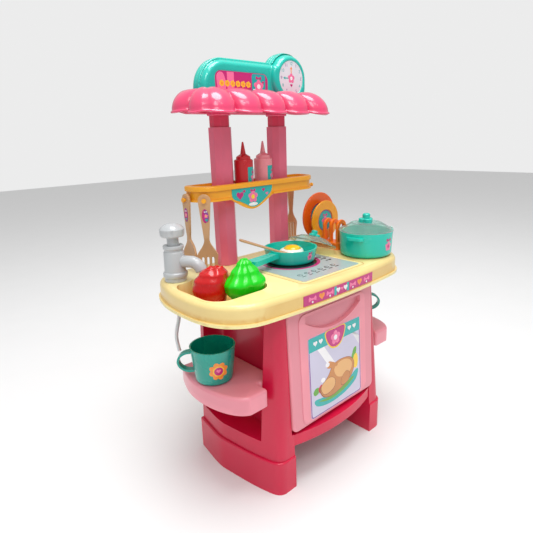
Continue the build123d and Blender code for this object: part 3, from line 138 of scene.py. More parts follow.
def plastic(name, colour, rough=0.32, vary=0.08, coat=0.25, bump=0.03, scale=260.0, soft=0.0, shade_tint=None):
    """Moulded plastic: faint colour drift, uneven gloss, fine moulded texture and painted shade, a darker colour in its
    hollows.
    """
    material = bpy.data.materials.new(name)
    material.use_nodes = True
    tree = material.node_tree
    shader = tree.nodes["Principled BSDF"]
    place = tree.nodes.new("ShaderNodeTexCoord")
    drift = node_of(tree, "ShaderNodeTexNoise", Scale=9.0, Detail=3.0)
    link(tree, place.outputs["Object"], drift.inputs["Vector"])
    ramp = tree.nodes.new("ShaderNodeValToRGB")
    ramp.color_ramp.elements[0].position = 0.3
    ramp.color_ramp.elements[1].position = 0.7
    dark = tuple(c * (1 - vary) for c in colour[:3]) + (1,)
    light = tuple(min(1.0, c * (1 + vary)) for c in colour[:3]) + (1,)
    ramp.color_ramp.elements[0].color = dark
    ramp.color_ramp.elements[1].color = light
    link(tree, drift.outputs["Fac"], ramp.inputs["Fac"])
    # Painted shade: where the surface is concave (low pointiness) it takes the darker hollow colour, standing in for
    # shade in hollows, creases and joins.
    shade_geometry = tree.nodes.new("ShaderNodeNewGeometry")
    edge = tree.nodes.new("ShaderNodeMapRange")
    edge.inputs["From Min"].default_value = 0.44
    edge.inputs["From Max"].default_value = 0.56
    link(tree, shade_geometry.outputs["Pointiness"], edge.inputs["Value"])
    mix = tree.nodes.new("ShaderNodeMix")
    mix.data_type = "RGBA"
    hollow_shade = shade_tint or tuple(c * 0.86 for c in colour[:3]) + (1,)
    mix.inputs[6].default_value = hollow_shade
    link(tree, ramp.outputs["Color"], mix.inputs[7])
    link(tree, edge.outputs["Result"], mix.inputs[0])
    link(tree, mix.outputs[2], shader.inputs["Base Color"])
    smudge = node_of(tree, "ShaderNodeTexNoise", Scale=34.0, Detail=4.0)
    link(tree, place.outputs["Object"], smudge.inputs["Vector"])
    gloss = tree.nodes.new("ShaderNodeMapRange")
    gloss.inputs["To Min"].default_value = max(0.02, rough - 0.07)
    gloss.inputs["To Max"].default_value = rough + 0.09
    link(tree, smudge.outputs["Fac"], gloss.inputs["Value"])
    link(tree, gloss.outputs["Result"], shader.inputs["Roughness"])
    grain = node_of(tree, "ShaderNodeTexNoise", Scale=scale, Detail=2.0)
    link(tree, place.outputs["Object"], grain.inputs["Vector"])
    relief = node_of(tree, "ShaderNodeBump", Strength=bump * 4, Distance=0.0004)
    link(tree, grain.outputs["Fac"], relief.inputs["Height"])
    link(tree, relief.outputs["Normal"], shader.inputs["Normal"])
    shader.inputs["Coat Weight"].default_value = coat
    shader.inputs["Coat Roughness"].default_value = 0.07
    if soft:
        shader.inputs["Subsurface Weight"].default_value = soft
        shader.inputs["Subsurface Radius"].default_value = (0.006, 0.003, 0.002)
        shader.inputs["Subsurface Scale"].default_value = 1.0
    return material


def clear_plastic(name, colour, rough=0.08):
    """Thin clear plastic with faint smears."""
    material = plastic(name, colour, rough, vary=0.02, coat=0.0, bump=0.01)
    shader = material.node_tree.nodes["Principled BSDF"]
    shader.inputs["Transmission Weight"].default_value = 0.88
    shader.inputs["IOR"].default_value = 1.12
    return material


def metal(name, colour, rough=0.3):
    """Plain plated steel."""
    material = plastic(name, colour, rough, vary=0.05, coat=0.0, bump=0.05, scale=700)
    material.node_tree.nodes["Principled BSDF"].inputs["Metallic"].default_value = 1.0
    return material


CRIMSON = plastic("crimson_shell", rgb(214, 6, 64), 0.36)
OVEN_DARK = plastic("oven_inside", rgb(140, 12, 44), 0.55, coat=0.0)
PINK = plastic("pink_shell", rgb(242, 150, 164), 0.34)
# The darker amber given for its hollows is painted shade for the sink's inner walls and the worktop's other hollows.
CREAM = plastic("cream_top", rgb(246, 232, 166), 0.34, shade_tint=rgb(226, 178, 92))
ROSE = plastic("rose_posts", rgb(230, 108, 136), 0.34)
MAGENTA = plastic("magenta_necks", rgb(216, 56, 92), 0.34)
AMBER = plastic("amber_shelf", rgb(252, 172, 30), 0.32)
CANOPY = plastic("canopy_pink", rgb(236, 62, 112), 0.3, coat=0.8)
TURQUOISE = plastic("turquoise_sign", rgb(20, 200, 182), 0.24, coat=0.6)
GREY = plastic("tap_grey", rgb(196, 200, 202), 0.3)
SEAL = plastic("seal_rubber", rgb(28, 28, 30), 0.6, coat=0.0)
HOSE = plastic("hose_grey", rgb(226, 228, 232), 0.3, vary=0.03, soft=0.3)
ORANGE = plastic("rack_orange", rgb(255, 120, 16), 0.3)
PLATE_RED = plastic("plate_orange", rgb(240, 100, 24), 0.28)
PLATE_AMBER = plastic("plate_amber", rgb(246, 164, 28), 0.28)
MUG = plastic("mug_teal", rgb(0, 160, 142), 0.26, coat=0.4)
JADE = plastic("pan_jade", rgb(6, 202, 182), 0.24, coat=0.4)
CLEAR = clear_plastic("lid_clear", rgb(226, 250, 244))
EGG_WHITE = plastic("egg_white", rgb(250, 248, 240), 0.3, soft=0.2)
YOLK = plastic("egg_yolk", rgb(248, 206, 26), 0.22, coat=0.5)
TAN = plastic("utensil_tan", rgb(212, 166, 120), 0.42)
RED = plastic("veg_red", rgb(204, 0, 4), 0.26, coat=0.35)
GREEN = plastic("veg_green", rgb(4, 212, 10), 0.3, coat=0.25)
BOTTLE_RED = plastic("bottle_red", rgb(206, 30, 40), 0.26, coat=0.4)
BOTTLE_PINK = plastic("bottle_pink", rgb(244, 150, 160), 0.26, coat=0.4)
STEEL = metal("steel", rgb(190, 192, 196))


def film(name, colour, vary=0.04):
    """Glossy printed film."""
    return plastic(name, colour, 0.22, vary=vary, coat=0.5, bump=0.012, scale=500)


FILM_GREY = film("film_grey", rgb(176, 186, 188))
FILM_MAGENTA = film("film_magenta", rgb(196, 26, 120))
FILM_TEAL = film("film_teal", rgb(20, 176, 172))
FILM_LILAC = film("film_lilac", rgb(206, 202, 224))
FILM_WHITE = film("film_white", rgb(246, 244, 246))
FILM_BLACK = film("film_black", rgb(36, 34, 38))
FILM_YELLOW = film("film_yellow", rgb(252, 208, 44))
FILM_ORANGE = film("film_orange", rgb(248, 146, 48))
FILM_PINK = film("film_pink", rgb(246, 120, 168))
FILM_PURPLE = film("film_purple", rgb(132, 62, 150))
FILM_GREEN = film("film_green", rgb(96, 168, 52))
FILM_RED = film("film_red", rgb(206, 30, 58))
FILM_ROAST = film("film_roast", rgb(206, 134, 66), vary=0.16)
FILM_ROAST_LIGHT = film("film_roast_light", rgb(236, 180, 112), vary=0.12)
FILM_ROAST_DARK = film("film_roast_dark", rgb(150, 84, 36))
DIAL = film("dial_grey", rgb(226, 228, 234))

finishes = {
    "right_side_panel": CRIMSON, "left_side_panel": CRIMSON, "front_frame": CRIMSON, "rear_brace": CRIMSON,
    "oven_cavity": OVEN_DARK, "brace_screws": STEEL, "pump_spring": STEEL,
    "right_side_shelf": PINK, "left_side_shelf": PINK, "oven_door": PINK, "worktop": CREAM,
    "hob_sticker": FILM_GREY, "front_sticker": FILM_MAGENTA, "door_sticker": FILM_LILAC,
    "shelf_sticker": FILM_TEAL, "sign_sticker": FILM_MAGENTA, "clock_dial": DIAL,
    "tap_body": GREY, "tap_knob": GREY, "tap_nut": GREY, "hose_spigot": GREY, "piston_seal": SEAL,
    "left_post": ROSE, "right_post": ROSE, "left_neck": MAGENTA, "right_neck": MAGENTA,
    "upper_shelf": AMBER, "canopy": CANOPY, "sign_front": TURQUOISE, "sign_back": TURQUOISE,
    "dish_rack": ORANGE, "small_plate": PLATE_AMBER, "large_plate": PLATE_RED,
    "left_mug": MUG, "right_mug": MUG, "pan": JADE, "pot": JADE, "pan_lid": CLEAR, "pot_lid": CLEAR,
    "pan_lid_knob": JADE, "pot_lid_knob": JADE, "egg_white": EGG_WHITE, "egg_yolk": YOLK,
    "pan_spoon": TAN, "spoon": TAN, "fork": TAN, "turner": TAN,
    "spoon_label": FILM_PURPLE, "fork_label": FILM_MAGENTA, "turner_label": FILM_PURPLE,
    "red_bottle": BOTTLE_RED, "red_nozzle": BOTTLE_RED, "pink_bottle": BOTTLE_PINK,
    "pink_nozzle": BOTTLE_PINK, "red_pepper": RED, "green_pepper": GREEN,
}
for node_name, finish in finishes.items():
    nodes[node_name].data.materials.clear()
    nodes[node_name].data.materials.append(finish)


# ---------------------------------------------------------------- mesh helpers
def new_piece(name, verts, faces, material, body, smooth=True):
    """A mesh piece that rides on a body."""
    mesh = bpy.data.meshes.new(name)
    mesh.from_pydata([tuple(v) for v in verts], [], faces)
    mesh.validate()
    materials = material if isinstance(material, list) else [material]
    for one in materials:
        mesh.materials.append(one)
    made = bpy.data.objects.new(name, mesh)
    bpy.context.scene.collection.objects.link(made)
    tidy = bmesh.new()
    tidy.from_mesh(mesh)
    bmesh.ops.remove_doubles(tidy, verts=tidy.verts, dist=1e-6)
    bmesh.ops.recalc_face_normals(tidy, faces=tidy.faces)
    tidy.to_mesh(mesh)
    tidy.free()
    for face in mesh.polygons:
        face.use_smooth = smooth
    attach(made, body)
    return made


def skin(rings, closed=True):
    """Faces that join rings of equal length, with both ends capped where closed."""
    count = len(rings[0])
    verts = [v for ring in rings for v in ring]
    faces = []
    for row in range(len(rings) - 1):
        for k in range(count):
            a, b = row * count + k, row * count + (k + 1) % count
            faces.append((a, b, b + count, a + count))
    if closed:
        faces.append(tuple(range(count - 1, -1, -1)))
        faces.append(tuple(range((len(rings) - 1) * count, len(rings) * count)))
    return verts, faces


# ---------------------------------------------------------------- hose
hose_points = [(-180, 70, 288), (-180, 70, 269), (-184.5, 73.5, 249), (-187, 76.5, 228), (-184, 73, 208)]
hose_curve = bpy.data.curves.new("inlet_hose_line", "CURVE")
hose_curve.dimensions = "3D"
hose_line = hose_curve.splines.new("NURBS")
hose_line.points.add(len(hose_points) - 1)
for point, (x, y, z) in zip(hose_line.points, hose_points):
    point.co = (x * MM, y * MM, z * MM, 1)
hose_line.order_u = 3
hose_line.use_endpoint_u = True
hose_line.resolution_u = 10
hose_curve.bevel_depth = 0.003
hose_curve.bevel_resolution = 5
hose_curve.use_fill_caps = True
hose_curve.materials.append(HOSE)
hose = bpy.data.objects.new("hose_line", hose_curve)
bpy.context.scene.collection.objects.link(hose)
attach(hose, "kitchen")
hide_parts("inlet_hose")

# ---------------------------------------------------------------- printed shapes
def outline_heart(cx, cy, size):
    points = []
    for k in range(28):
        t = TAU * k / 28
        u = 16 * math.sin(t) ** 3
        v = 13 * math.cos(t) - 5 * math.cos(2 * t) - 2 * math.cos(3 * t) - math.cos(4 * t)
        points.append((cx + u * size / 32, cy + v * size / 32))
    return points


def outline_oval(cx, cy, ru, rv=None, turn=0.0, count=36):
    rv = rv or ru
    c, s = math.cos(turn), math.sin(turn)
    points = []
    for k in range(count):
        u, v = ru * math.cos(TAU * k / count), rv * math.sin(TAU * k / count)
        points.append((cx + u * c - v * s, cy + u * s + v * c))
    return points


def outline_flower(cx, cy, radius, petals=5, depth=0.3, turn=0.3):
    points = []
    for k in range(petals * 10):
        t = TAU * k / (petals * 10)
        r = radius * (1 - depth + depth * abs(math.cos(petals * t / 2)))
        points.append((cx + r * math.cos(t + turn), cy + r * math.sin(t + turn)))
    return points


def outline_box(u0, v0, u1, v1, r=0.0):
    if r <= 0:
        return [(u0, v0), (u1, v0), (u1, v1), (u0, v1)]
    points = []
    for cu, cv, start in ((u1 - r, v0 + r, -90), (u1 - r, v1 - r, 0), (u0 + r, v1 - r, 90), (u0 + r, v0 + r, 180)):
        for k in range(7):
            t = math.radians(start + 15 * k)
            points.append((cu + r * math.cos(t), cv + r * math.sin(t)))
    return points


def outline_blob(points, steps=4):
    """Smooth closed outline through given points."""
    count = len(points)
    smooth = []
    for k in range(count):
        p0, p1, p2, p3 = (points[(k + j) % count] for j in (-1, 0, 1, 2))
        for j in range(steps):
            t = j / steps
            smooth.append(tuple(
                0.5 * (2 * b + (c - a) * t + (2 * a - 5 * b + 4 * c - d) * t ** 2 + (3 * b - a - 3 * c + d) * t ** 3)
                for a, b, c, d in zip(p0, p1, p2, p3)
            ))
    return smooth


def bow(cx, cy, size, material):
    """Generic ribbon bow."""
    wing = [(0, 0), (0.5, 0.36), (0.62, 0.1), (0.58, -0.26), (0, 0)]
    shapes = []
    for side in (-1, 1):
        shapes.append(([(cx + side * u * size, cy + v * size) for u, v in wing[:-1]], material))
    shapes.append((outline_oval(cx, cy, 0.14 * size, count=14), material))
    return shapes


def daisy(cx, cy, radius, petal, centre):
    """Generic flower motif."""
    return [
        (outline_flower(cx, cy, radius), petal),
        (outline_oval(cx, cy, radius * 0.36, count=18), centre),
    ]


def dense(outline, gap=2.0):
    """The same outline with no run longer than the gap."""
    points = []
    for a, b in zip(outline, outline[1:] + outline[:1]):
        parts = max(1, math.ceil(math.dist(a, b) / gap))
        points += [(a[0] + (b[0] - a[0]) * j / parts, a[1] + (b[1] - a[1]) * j / parts) for j in range(parts)]
    return points


def printed(name, place, shapes, body, start=0.02, step=0.02, round_wall=False):
    """Printed areas on a label as one piece; each later area lies a hair above the one before."""
    verts, faces, kinds, materials = [], [], [], []
    for level, (outline, material) in enumerate(shapes):
        if material not in materials:
            materials.append(material)
        kind = materials.index(material)
        high = start + step * (1 + level)
        rings = [outline]
        if round_wall:
            outline = dense(outline)
            mid_u = sum(u for u, v in outline) / len(outline)
            mid_v = sum(v for u, v in outline) / len(outline)
            rings = [
                [(mid_u + (u - mid_u) * share, mid_v + (v - mid_v) * share) for u, v in outline]
                for share in (1, 0.8, 0.6, 0.4, 0.2, 0.05)
            ]
        count = len(outline)
        base = len(verts)
        verts += [place(u, v, -0.01) for u, v in outline]
        for ring in rings:
            verts += [place(u, v, high) for u, v in ring]
        for row in range(len(rings)):
            for k in range(count):
                a, b = base + row * count + k, base + row * count + (k + 1) % count
                faces.append((a, b, b + count, a + count))
                kinds.append(kind)
        last = base + len(rings) * count
        faces.append(tuple(range(last, last + count)))
        kinds.append(kind)
    mesh = bpy.data.meshes.new(name)
    mesh.from_pydata([tuple(c * MM for c in v) for v in verts], [], faces)
    for material in materials:
        mesh.materials.append(material)
    mesh.polygons.foreach_set("material_index", kinds)
    made = bpy.data.objects.new(name, mesh)
    bpy.context.scene.collection.objects.link(made)
    tidy = bmesh.new()
    tidy.from_mesh(mesh)
    bmesh.ops.recalc_face_normals(tidy, faces=tidy.faces)
    tidy.to_mesh(mesh)
    tidy.free()
    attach(made, body)
    return made


LEAN_COS, LEAN_SIN = math.cos(math.radians(3)), math.sin(math.radians(3))


def on_door(u, v, h):
    n = 11.0 + h
    return (u, -100.6 + v * LEAN_SIN - n * LEAN_COS, 98 + v * LEAN_COS + n * LEAN_SIN)


def on_hob(u, v, h):
    return (u, v, 330.6 + h)


def on_front(u, v, h):
    au, bu = 5.52, 1306.8
    return (u, -116.6 + bu - math.sqrt(au * au + bu * bu - (abs(u) - au) ** 2) - h, v)


def on_tab(u, v, h):
    return (u, 50.9 - h, v)


def on_sign(u, v, h):
    return (u, 79.6 - h, v)


def on_dial(u, v, h):
    return (87.5 + u, 71.2 - h, 641 + v)


def on_round(cx, cy, z0, r0, r1, height, facing):
    """Place shapes on an upright cup or bottle wall; u runs round it to the right, v up it."""
    def place(u, v, h):
        r = r0 + (r1 - r0) * v / height + h
        t = math.radians(facing) + u / (0.5 * (r0 + r1))
        return (cx + r * math.cos(t), cy + r * math.sin(t), z0 + v)
    return place


# oven door picture: a window with light streaks, a roast on a dish, a badge and two bands
door_low, door_high, door_half = 8.0, 146.0, 65.0
roast_body = [(-40, 42), (-30, 33), (-12, 30), (6, 33), (24, 38), (38, 46), (46, 58), (46, 72), (36, 82),
              (20, 86), (2, 86), (-12, 80), (-20, 70), (-30, 62), (-42, 54)]
roast_breast = [(-6, 74), (6, 82), (24, 82), (38, 74), (40, 62), (30, 54), (14, 54), (0, 60)]
roast_leg = [(-40, 54), (-30, 62), (-14, 64), (-4, 56), (-6, 44), (-20, 38), (-34, 40)]
roast_wing = [(16, 56), (26, 60), (34, 54), (34, 44), (24, 38), (12, 38), (10, 46)]
door_shapes = [
    (outline_box(-door_half + 0.6, door_low + 0.6, door_half - 0.6, door_high - 0.6, 5), FILM_PURPLE),
    (outline_box(-door_half + 2.4, door_low + 2.4, door_half - 2.4, door_high - 2.4, 4), FILM_LILAC),
    ([(-50, door_high - 16), (-34, door_high - 16), (-2, 84), (-18, 84)], FILM_WHITE),
    ([(28, door_high - 16), (38, door_high - 16), (62, 96), (62, 112)], FILM_WHITE),
    (outline_box(-door_half + 1, door_high - 24, door_half - 1, door_high - 1), FILM_TEAL),
    (outline_blob([(-54, 38), (-50, 26), (-20, 19), (20, 22), (50, 34), (58, 50), (50, 52), (20, 38), (-20, 34)]), FILM_TEAL),
    (outline_blob([(-46, 33), (-20, 25), (16, 28), (44, 39), (40, 43), (10, 34), (-24, 31)]), FILM_GREEN),
    (outline_blob([(40, 76), (46, 92), (54, 94), (52, 80), (48, 72)]), FILM_GREEN),
    (outline_blob([(44, 60), (46, 78), (54, 82), (58, 70), (54, 56)]), FILM_YELLOW),
    (outline_blob([(-58, 52), (-52, 58), (-44, 56), (-46, 48), (-54, 46)]), FILM_GREEN),
    (outline_blob([(-46, 54), (-38, 60), (-34, 52), (-42, 46)]), FILM_RED),
    (outline_blob(roast_body), FILM_ROAST_DARK),
    (outline_blob([(u * 0.97 + 0.3, v * 0.965 + 2.4) for u, v in roast_body]), FILM_ROAST),
    (outline_blob(roast_breast), FILM_ROAST_LIGHT),
    (outline_blob(roast_leg), FILM_ROAST_DARK),
    (outline_blob([(u * 0.95 - 1.2, v * 0.95 + 2.8) for u, v in roast_leg]), FILM_ROAST_LIGHT),
    (outline_blob(roast_wing), FILM_ROAST_DARK),
    (outline_blob([(u * 0.93 + 1.6, v * 0.94 + 3.2) for u, v in roast_wing]), FILM_ROAST),
    (outline_blob([(-16, 92), (-22, 90), (-24, 84), (-18, 80), (0, 78), (2, 82)]), FILM_ROAST),
    (outline_oval(-22, 88, 5, 4), FILM_WHITE),
    (outline_oval(-34, 66, 5, 4), FILM_WHITE),
    (outline_blob([(-24, door_high - 1), (-24, door_high - 14), (-14, door_high - 30), (0, door_high - 35),
                   (14, door_high - 30), (24, door_high - 14), (24, door_high - 1), (0, door_high - 0.6)]), FILM_YELLOW),
    (outline_blob([(-22, door_high - 2), (-22, door_high - 14), (-13, door_high - 28), (0, door_high - 32.6),
                   (13, door_high - 28), (22, door_high - 14), (22, door_high - 2), (0, door_high - 1.4)]), FILM_MAGENTA),
]
door_shapes += daisy(0, door_high - 17, 12, FILM_PINK, FILM_WHITE)
for sign in (-1, 1):
    for k in range(2):
        door_shapes.append((outline_heart(sign * (36 + 13 * k), door_high - 12, 9), FILM_WHITE))
printed("door_print", on_door, door_shapes, "door")

# hob: black plate with a magenta ring, and rows of small control marks
hob_shapes = [
    (outline_oval(15, 9, 52, count=72), FILM_MAGENTA),
    (outline_oval(15, 9, 46, count=72), FILM_BLACK),
    (outline_oval(15, 9, 26, count=48), FILM_MAGENTA),
    (outline_oval(15, 9, 23.5, count=48), FILM_BLACK),
]
for k in range(6):
    mark_u = -34 + 16 * k
    hob_shapes.append((outline_oval(mark_u, -60, 4.4, count=20), FILM_BLACK))
    hob_shapes.append((outline_oval(mark_u, -60, 3.4, count=20), FILM_GREY))
    hob_shapes.append((outline_box(mark_u - 0.6, -60, mark_u + 0.6, -56), FILM_BLACK))
    hob_shapes.append((outline_box(mark_u - 4, -70, mark_u + 4, -68.6), FILM_BLACK))
for k in range(3):
    hob_shapes.append((outline_oval(70, -34 + 12 * k, 2.6, count=16), FILM_BLACK))
    hob_shapes.append((outline_box(60, -35 + 12 * k, 65, -33 + 12 * k), FILM_BLACK))
printed("hob_print", on_hob, hob_shapes, "kitchen")

# worktop front label
front_shapes = [(outline_box(-18, 306, 18, 320), FILM_TEAL)]
for side in (-1, 1):
    front_shapes.append((outline_heart(side * 46, 313.4, 12), FILM_ORANGE))
    for far in (28, 66):
        front_shapes += bow(side * far, 313, 13, FILM_PINK)
        front_shapes.append((outline_oval(side * far, 308.6, 1.6, count=12), FILM_WHITE))
front_shapes += [(outline_heart(-9, 313.4, 9), FILM_WHITE), (outline_heart(0, 313.4, 6), FILM_PINK), (outline_heart(9, 313.4, 9), FILM_WHITE)]
printed("front_print", on_front, front_shapes, "kitchen")

# shelf tab
tab_shapes = [
    (outline_heart(-58, 451, 15), FILM_MAGENTA),
    (outline_heart(-49, 457, 6), FILM_MAGENTA),
    (outline_heart(-6, 456, 7), FILM_MAGENTA),
    (outline_heart(2, 449, 6), FILM_PINK),
    (outline_oval(-30, 434, 10, 2.8), FILM_WHITE),
]
tab_shapes += daisy(-30, 446.5, 10.5, FILM_PINK, FILM_YELLOW)
tab_shapes += bow(-30, 457, 9, FILM_MAGENTA)
printed("tab_print", on_tab, tab_shapes, "kitchen")

# sign label: magenta and pink panels, dots where the word was, and a flower on teal
sign_shapes = [
    (outline_blob([(-71, 636), (-69, 618), (-62, 611), (-54, 614), (-53, 630), (-58, 642), (-66, 643)]), FILM_PINK),
    (outline_box(-50, 609.6, -36, 644.4), FILM_PINK),
    (outline_box(2, 609.6, 32, 644.4, 4), FILM_TEAL),
]
for k in range(6):
    sign_shapes.append((outline_flower(-61 + 11 * k, 627, 5.2, petals=6, depth=0.24), FILM_YELLOW))
    sign_shapes.append((outline_oval(-61 + 11 * k, 627, 1.8, count=14), FILM_ORANGE))
sign_shapes += daisy(17, 625, 11, FILM_PINK, FILM_WHITE)
sign_shapes += bow(17, 638, 10, FILM_MAGENTA)
sign_shapes += [(outline_heart(27, 632, 5), FILM_MAGENTA), (outline_heart(7, 619, 5), FILM_WHITE)]
printed("sign_print", on_sign, sign_shapes, "kitchen")

# clock dial: twelve numbers, flower and printed hands
dial_shapes = [
    (outline_box(-1.0, 4, 1.0, 18), FILM_ORANGE),
    ([(-2.6, 15), (2.6, 15), (0, 20)], FILM_ORANGE),
    (outline_box(-17, -0.8, -4, 0.8), FILM_TEAL),
    ([(-15, -2.4), (-15, 2.4), (-20, 0)], FILM_TEAL),
]
dial_shapes += daisy(0, 0, 8.5, FILM_PINK, FILM_WHITE)
dial_shapes += [(outline_heart(0, -11.5, 6), FILM_MAGENTA)]
printed("dial_print", on_dial, dial_shapes, "kitchen")


def dial_number(value):
    """One printed clock number."""
    curve = bpy.data.curves.new(f"number_{value}", "FONT")
    curve.body = str(value)
    curve.size = 0.0074
    curve.align_x = "CENTER"
    curve.align_y = "CENTER"
    curve.extrude = 0.00004
    text = bpy.data.objects.new(f"number_{value}", curve)
    turn = math.radians(30 * value)
    x, y, z = on_dial(24 * math.sin(turn), 24 * math.cos(turn), 0.03)
    text.location = (x * MM, y * MM, z * MM)
    text.rotation_euler = (math.pi / 2, 0, 0)
    curve.materials.append(FILM_PURPLE if value % 2 else FILM_TEAL)
    bpy.context.scene.collection.objects.link(text)
    bpy.context.view_layer.update()
    mesh = bpy.data.meshes.new_from_object(text)
    place = text.matrix_world.copy()
    bpy.data.objects.remove(text)
    made = bpy.data.objects.new(f"dial_number_{value}", mesh)
    bpy.context.scene.collection.objects.link(made)
    made.matrix_world = place
    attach(made, "kitchen")


for value in range(1, 13):
    dial_number(value)

# mug flowers, pan, pot, bottle and plate motifs
for body, side, facing in (("left_mug", -1, -112), ("right_mug", 1, -75)):
    cup = on_round(side * 173, -7, 186.3, 28.5, 35, 56, facing)
    printed(f"{body}_print", cup, [
        (outline_flower(0, 26, 15, petals=8, depth=0.22), FILM_ORANGE),
        (outline_flower(0, 26, 9, petals=8, depth=0.12), FILM_YELLOW),
        (outline_oval(0, 26, 7, count=24), FILM_MAGENTA),
        (outline_heart(0, 26.6, 7), FILM_PINK),
    ], body, start=0.2, step=0.06, round_wall=True)
pan_wall = on_round(21, 15, 331.2, 42, 47, 24.6, -88)
printed("pan_print", pan_wall, daisy(0, 13, 6, FILM_PINK, FILM_MAGENTA) + bow(0, 19.5, 7, FILM_MAGENTA), "pan", start=0.15, step=0.05,
        round_wall=True)
pot_wall = on_round(148.2, -53.6, 330.3, 46, 48, 44, -88)
printed("pot_print", pot_wall, daisy(0, 20, 9, FILM_PINK, FILM_MAGENTA) + bow(0, 31, 10, FILM_MAGENTA), "pot", start=0.15, step=0.05,
        round_wall=True)
for body, x in (("red_bottle", -24.6), ("pink_bottle", 20.5)):
    wall = on_round(x, 79, 452.8, 16.2, 16.2, 54.5, -62)
    label = [(outline_box(-12, 5, 12, 42, 1.5), FILM_TEAL)] + daisy(2, 23, 8, FILM_PINK, FILM_WHITE)
    printed(f"{body}_print", wall, label + bow(2, 33, 9, FILM_MAGENTA), body, start=0.05, step=0.05, round_wall=True)


def on_plate(y):
    def place(u, v, h):
        return (146 + u, y - h, v)
    return place


printed("small_plate_print", on_plate(41.6), [
    (outline_oval(0, 381.8, 20.6, count=48), FILM_PURPLE),
    (outline_oval(0, 381.8, 18.6, count=48), FILM_TEAL),
] + daisy(0, 380, 10, FILM_PINK, FILM_YELLOW) + bow(0, 392, 10, FILM_MAGENTA), "small_plate")
printed("large_plate_print", on_plate(57.6), [
    (outline_oval(0, 389.3, 25, count=48), FILM_PURPLE),
    (outline_oval(0, 389.3, 22.6, count=48), FILM_TEAL),
] + daisy(0, 389, 12, FILM_PINK, FILM_YELLOW), "large_plate")


def on_handle(px, py, heading, tilt):
    """Place shapes on a hanging utensil's handle label, with the peg at the origin."""
    out = (math.cos(math.radians(heading)), math.sin(math.radians(heading)))
    c, t = math.cos(math.radians(tilt)), math.sin(math.radians(tilt))

    def place(u, v, h):
        across, up = u * c - v * t, u * t + v * c
        far = LABEL_FACE + h
        return (px - across * out[1] + far * out[0], py + across * out[0] + far * out[1], 450 + up)
    return place


LABEL_FACE = 6.0
pegs = {
    "spoon": (-134, 90, 180, 0, FILM_MAGENTA), "fork": (-124.04, 58.96, 225, 5, FILM_PURPLE),
    "turner": (121, 108, 90, 0, FILM_MAGENTA),
}
for tool, (px, py, heading, tilt, rim) in pegs.items():
    motif = [(outline_oval(0, -24, 4.1, 9.8), rim)] + daisy(0, -24, 3.4, FILM_PINK, FILM_YELLOW)
    motif += bow(0, -17.5, 4, FILM_WHITE) + [(outline_heart(0, -30.4, 4.4), FILM_TEAL)]
    printed(f"{tool}_print", on_handle(px, py, heading, tilt), motif, tool)

# ---------------------------------------------------------------- shaped pieces
def settle(piece):
    """Makes a piece's modifiers part of its mesh."""
    bpy.context.view_layer.update()
    graph = bpy.context.evaluated_depsgraph_get()
    mesh = bpy.data.meshes.new_from_object(piece.evaluated_get(graph))
    piece.modifiers.clear()
    piece.data = mesh
    for face in mesh.polygons:
        face.use_smooth = True


def softened(name, node, body, material, voxel, rounds=5, shape=None):
    """A moulded copy of a CAD node with rounded edges and, where given, a shaping of its points."""
    made = bpy.data.objects.new(name, nodes[node].data.copy())
    bpy.context.scene.collection.objects.link(made)
    made.data.materials.clear()
    made.data.materials.append(material)
    remesh = made.modifiers.new("remesh", "REMESH")
    remesh.mode = "VOXEL"
    remesh.voxel_size = voxel * MM
    smooth = made.modifiers.new("smooth", "SMOOTH")
    smooth.iterations = rounds
    smooth.factor = 0.5
    settle(made)
    if shape:
        for vertex in made.data.vertices:
            vertex.co = Vector(shape(*(c / MM for c in vertex.co))) * MM
    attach(made, body)
    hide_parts(node)
    return made


def spread(low, high, share):
    return low + (high - low) * share


def clamp(value, low, high):
    return max(low, min(high, value))


# canopy: puffed lobes with a rolled lip
LOBE_PITCH, FRONT_R, SIDE_R, SIDE_X = 53.0, 27.5, 25.0, 120.5
CANOPY_FOOT, CANOPY_TOP, CANOPY_BACK = 577.2, 617.0, 117.0


def lobe_line():
    """Plan points of the right half of the scalloped lip, each with its place in its lobe."""
    cusp = math.degrees(math.acos(LOBE_PITCH / 2 / FRONT_R))
    corner = 360 - math.degrees(math.atan2(46 - 36, SIDE_X - 2 * LOBE_PITCH))
    side_cusp = math.degrees(math.asin(23 / SIDE_R))
    arcs = [
        (0, 36, FRONT_R, -90, -cusp, 0.5),
        (LOBE_PITCH, 36, FRONT_R, -180 + cusp, -cusp, 0),
        (2 * LOBE_PITCH, 36, FRONT_R, -180 + cusp, corner - 360 + 8, 0),
        (SIDE_X, 46, SIDE_R, -46, side_cusp, 0),
        (SIDE_X, 92, SIDE_R, -side_cusp, 90, 0),
    ]
    line = []
    for row, (cx, cy, r, a0, a1, first) in enumerate(arcs):
        for k in range(19):
            t = k / 18
            angle = math.radians(spread(a0, a1, t))
            crease = 1.0 if row < 2 or (row == 2 and t < 0.5) else 0.25
            line.append((cx + r * math.cos(angle), cy + r * math.sin(angle), spread(first, 1, t), crease))
    line += [(SIDE_X * (1 - k / 10), CANOPY_BACK, 0.5, 0) for k in range(1, 10)]
    return line


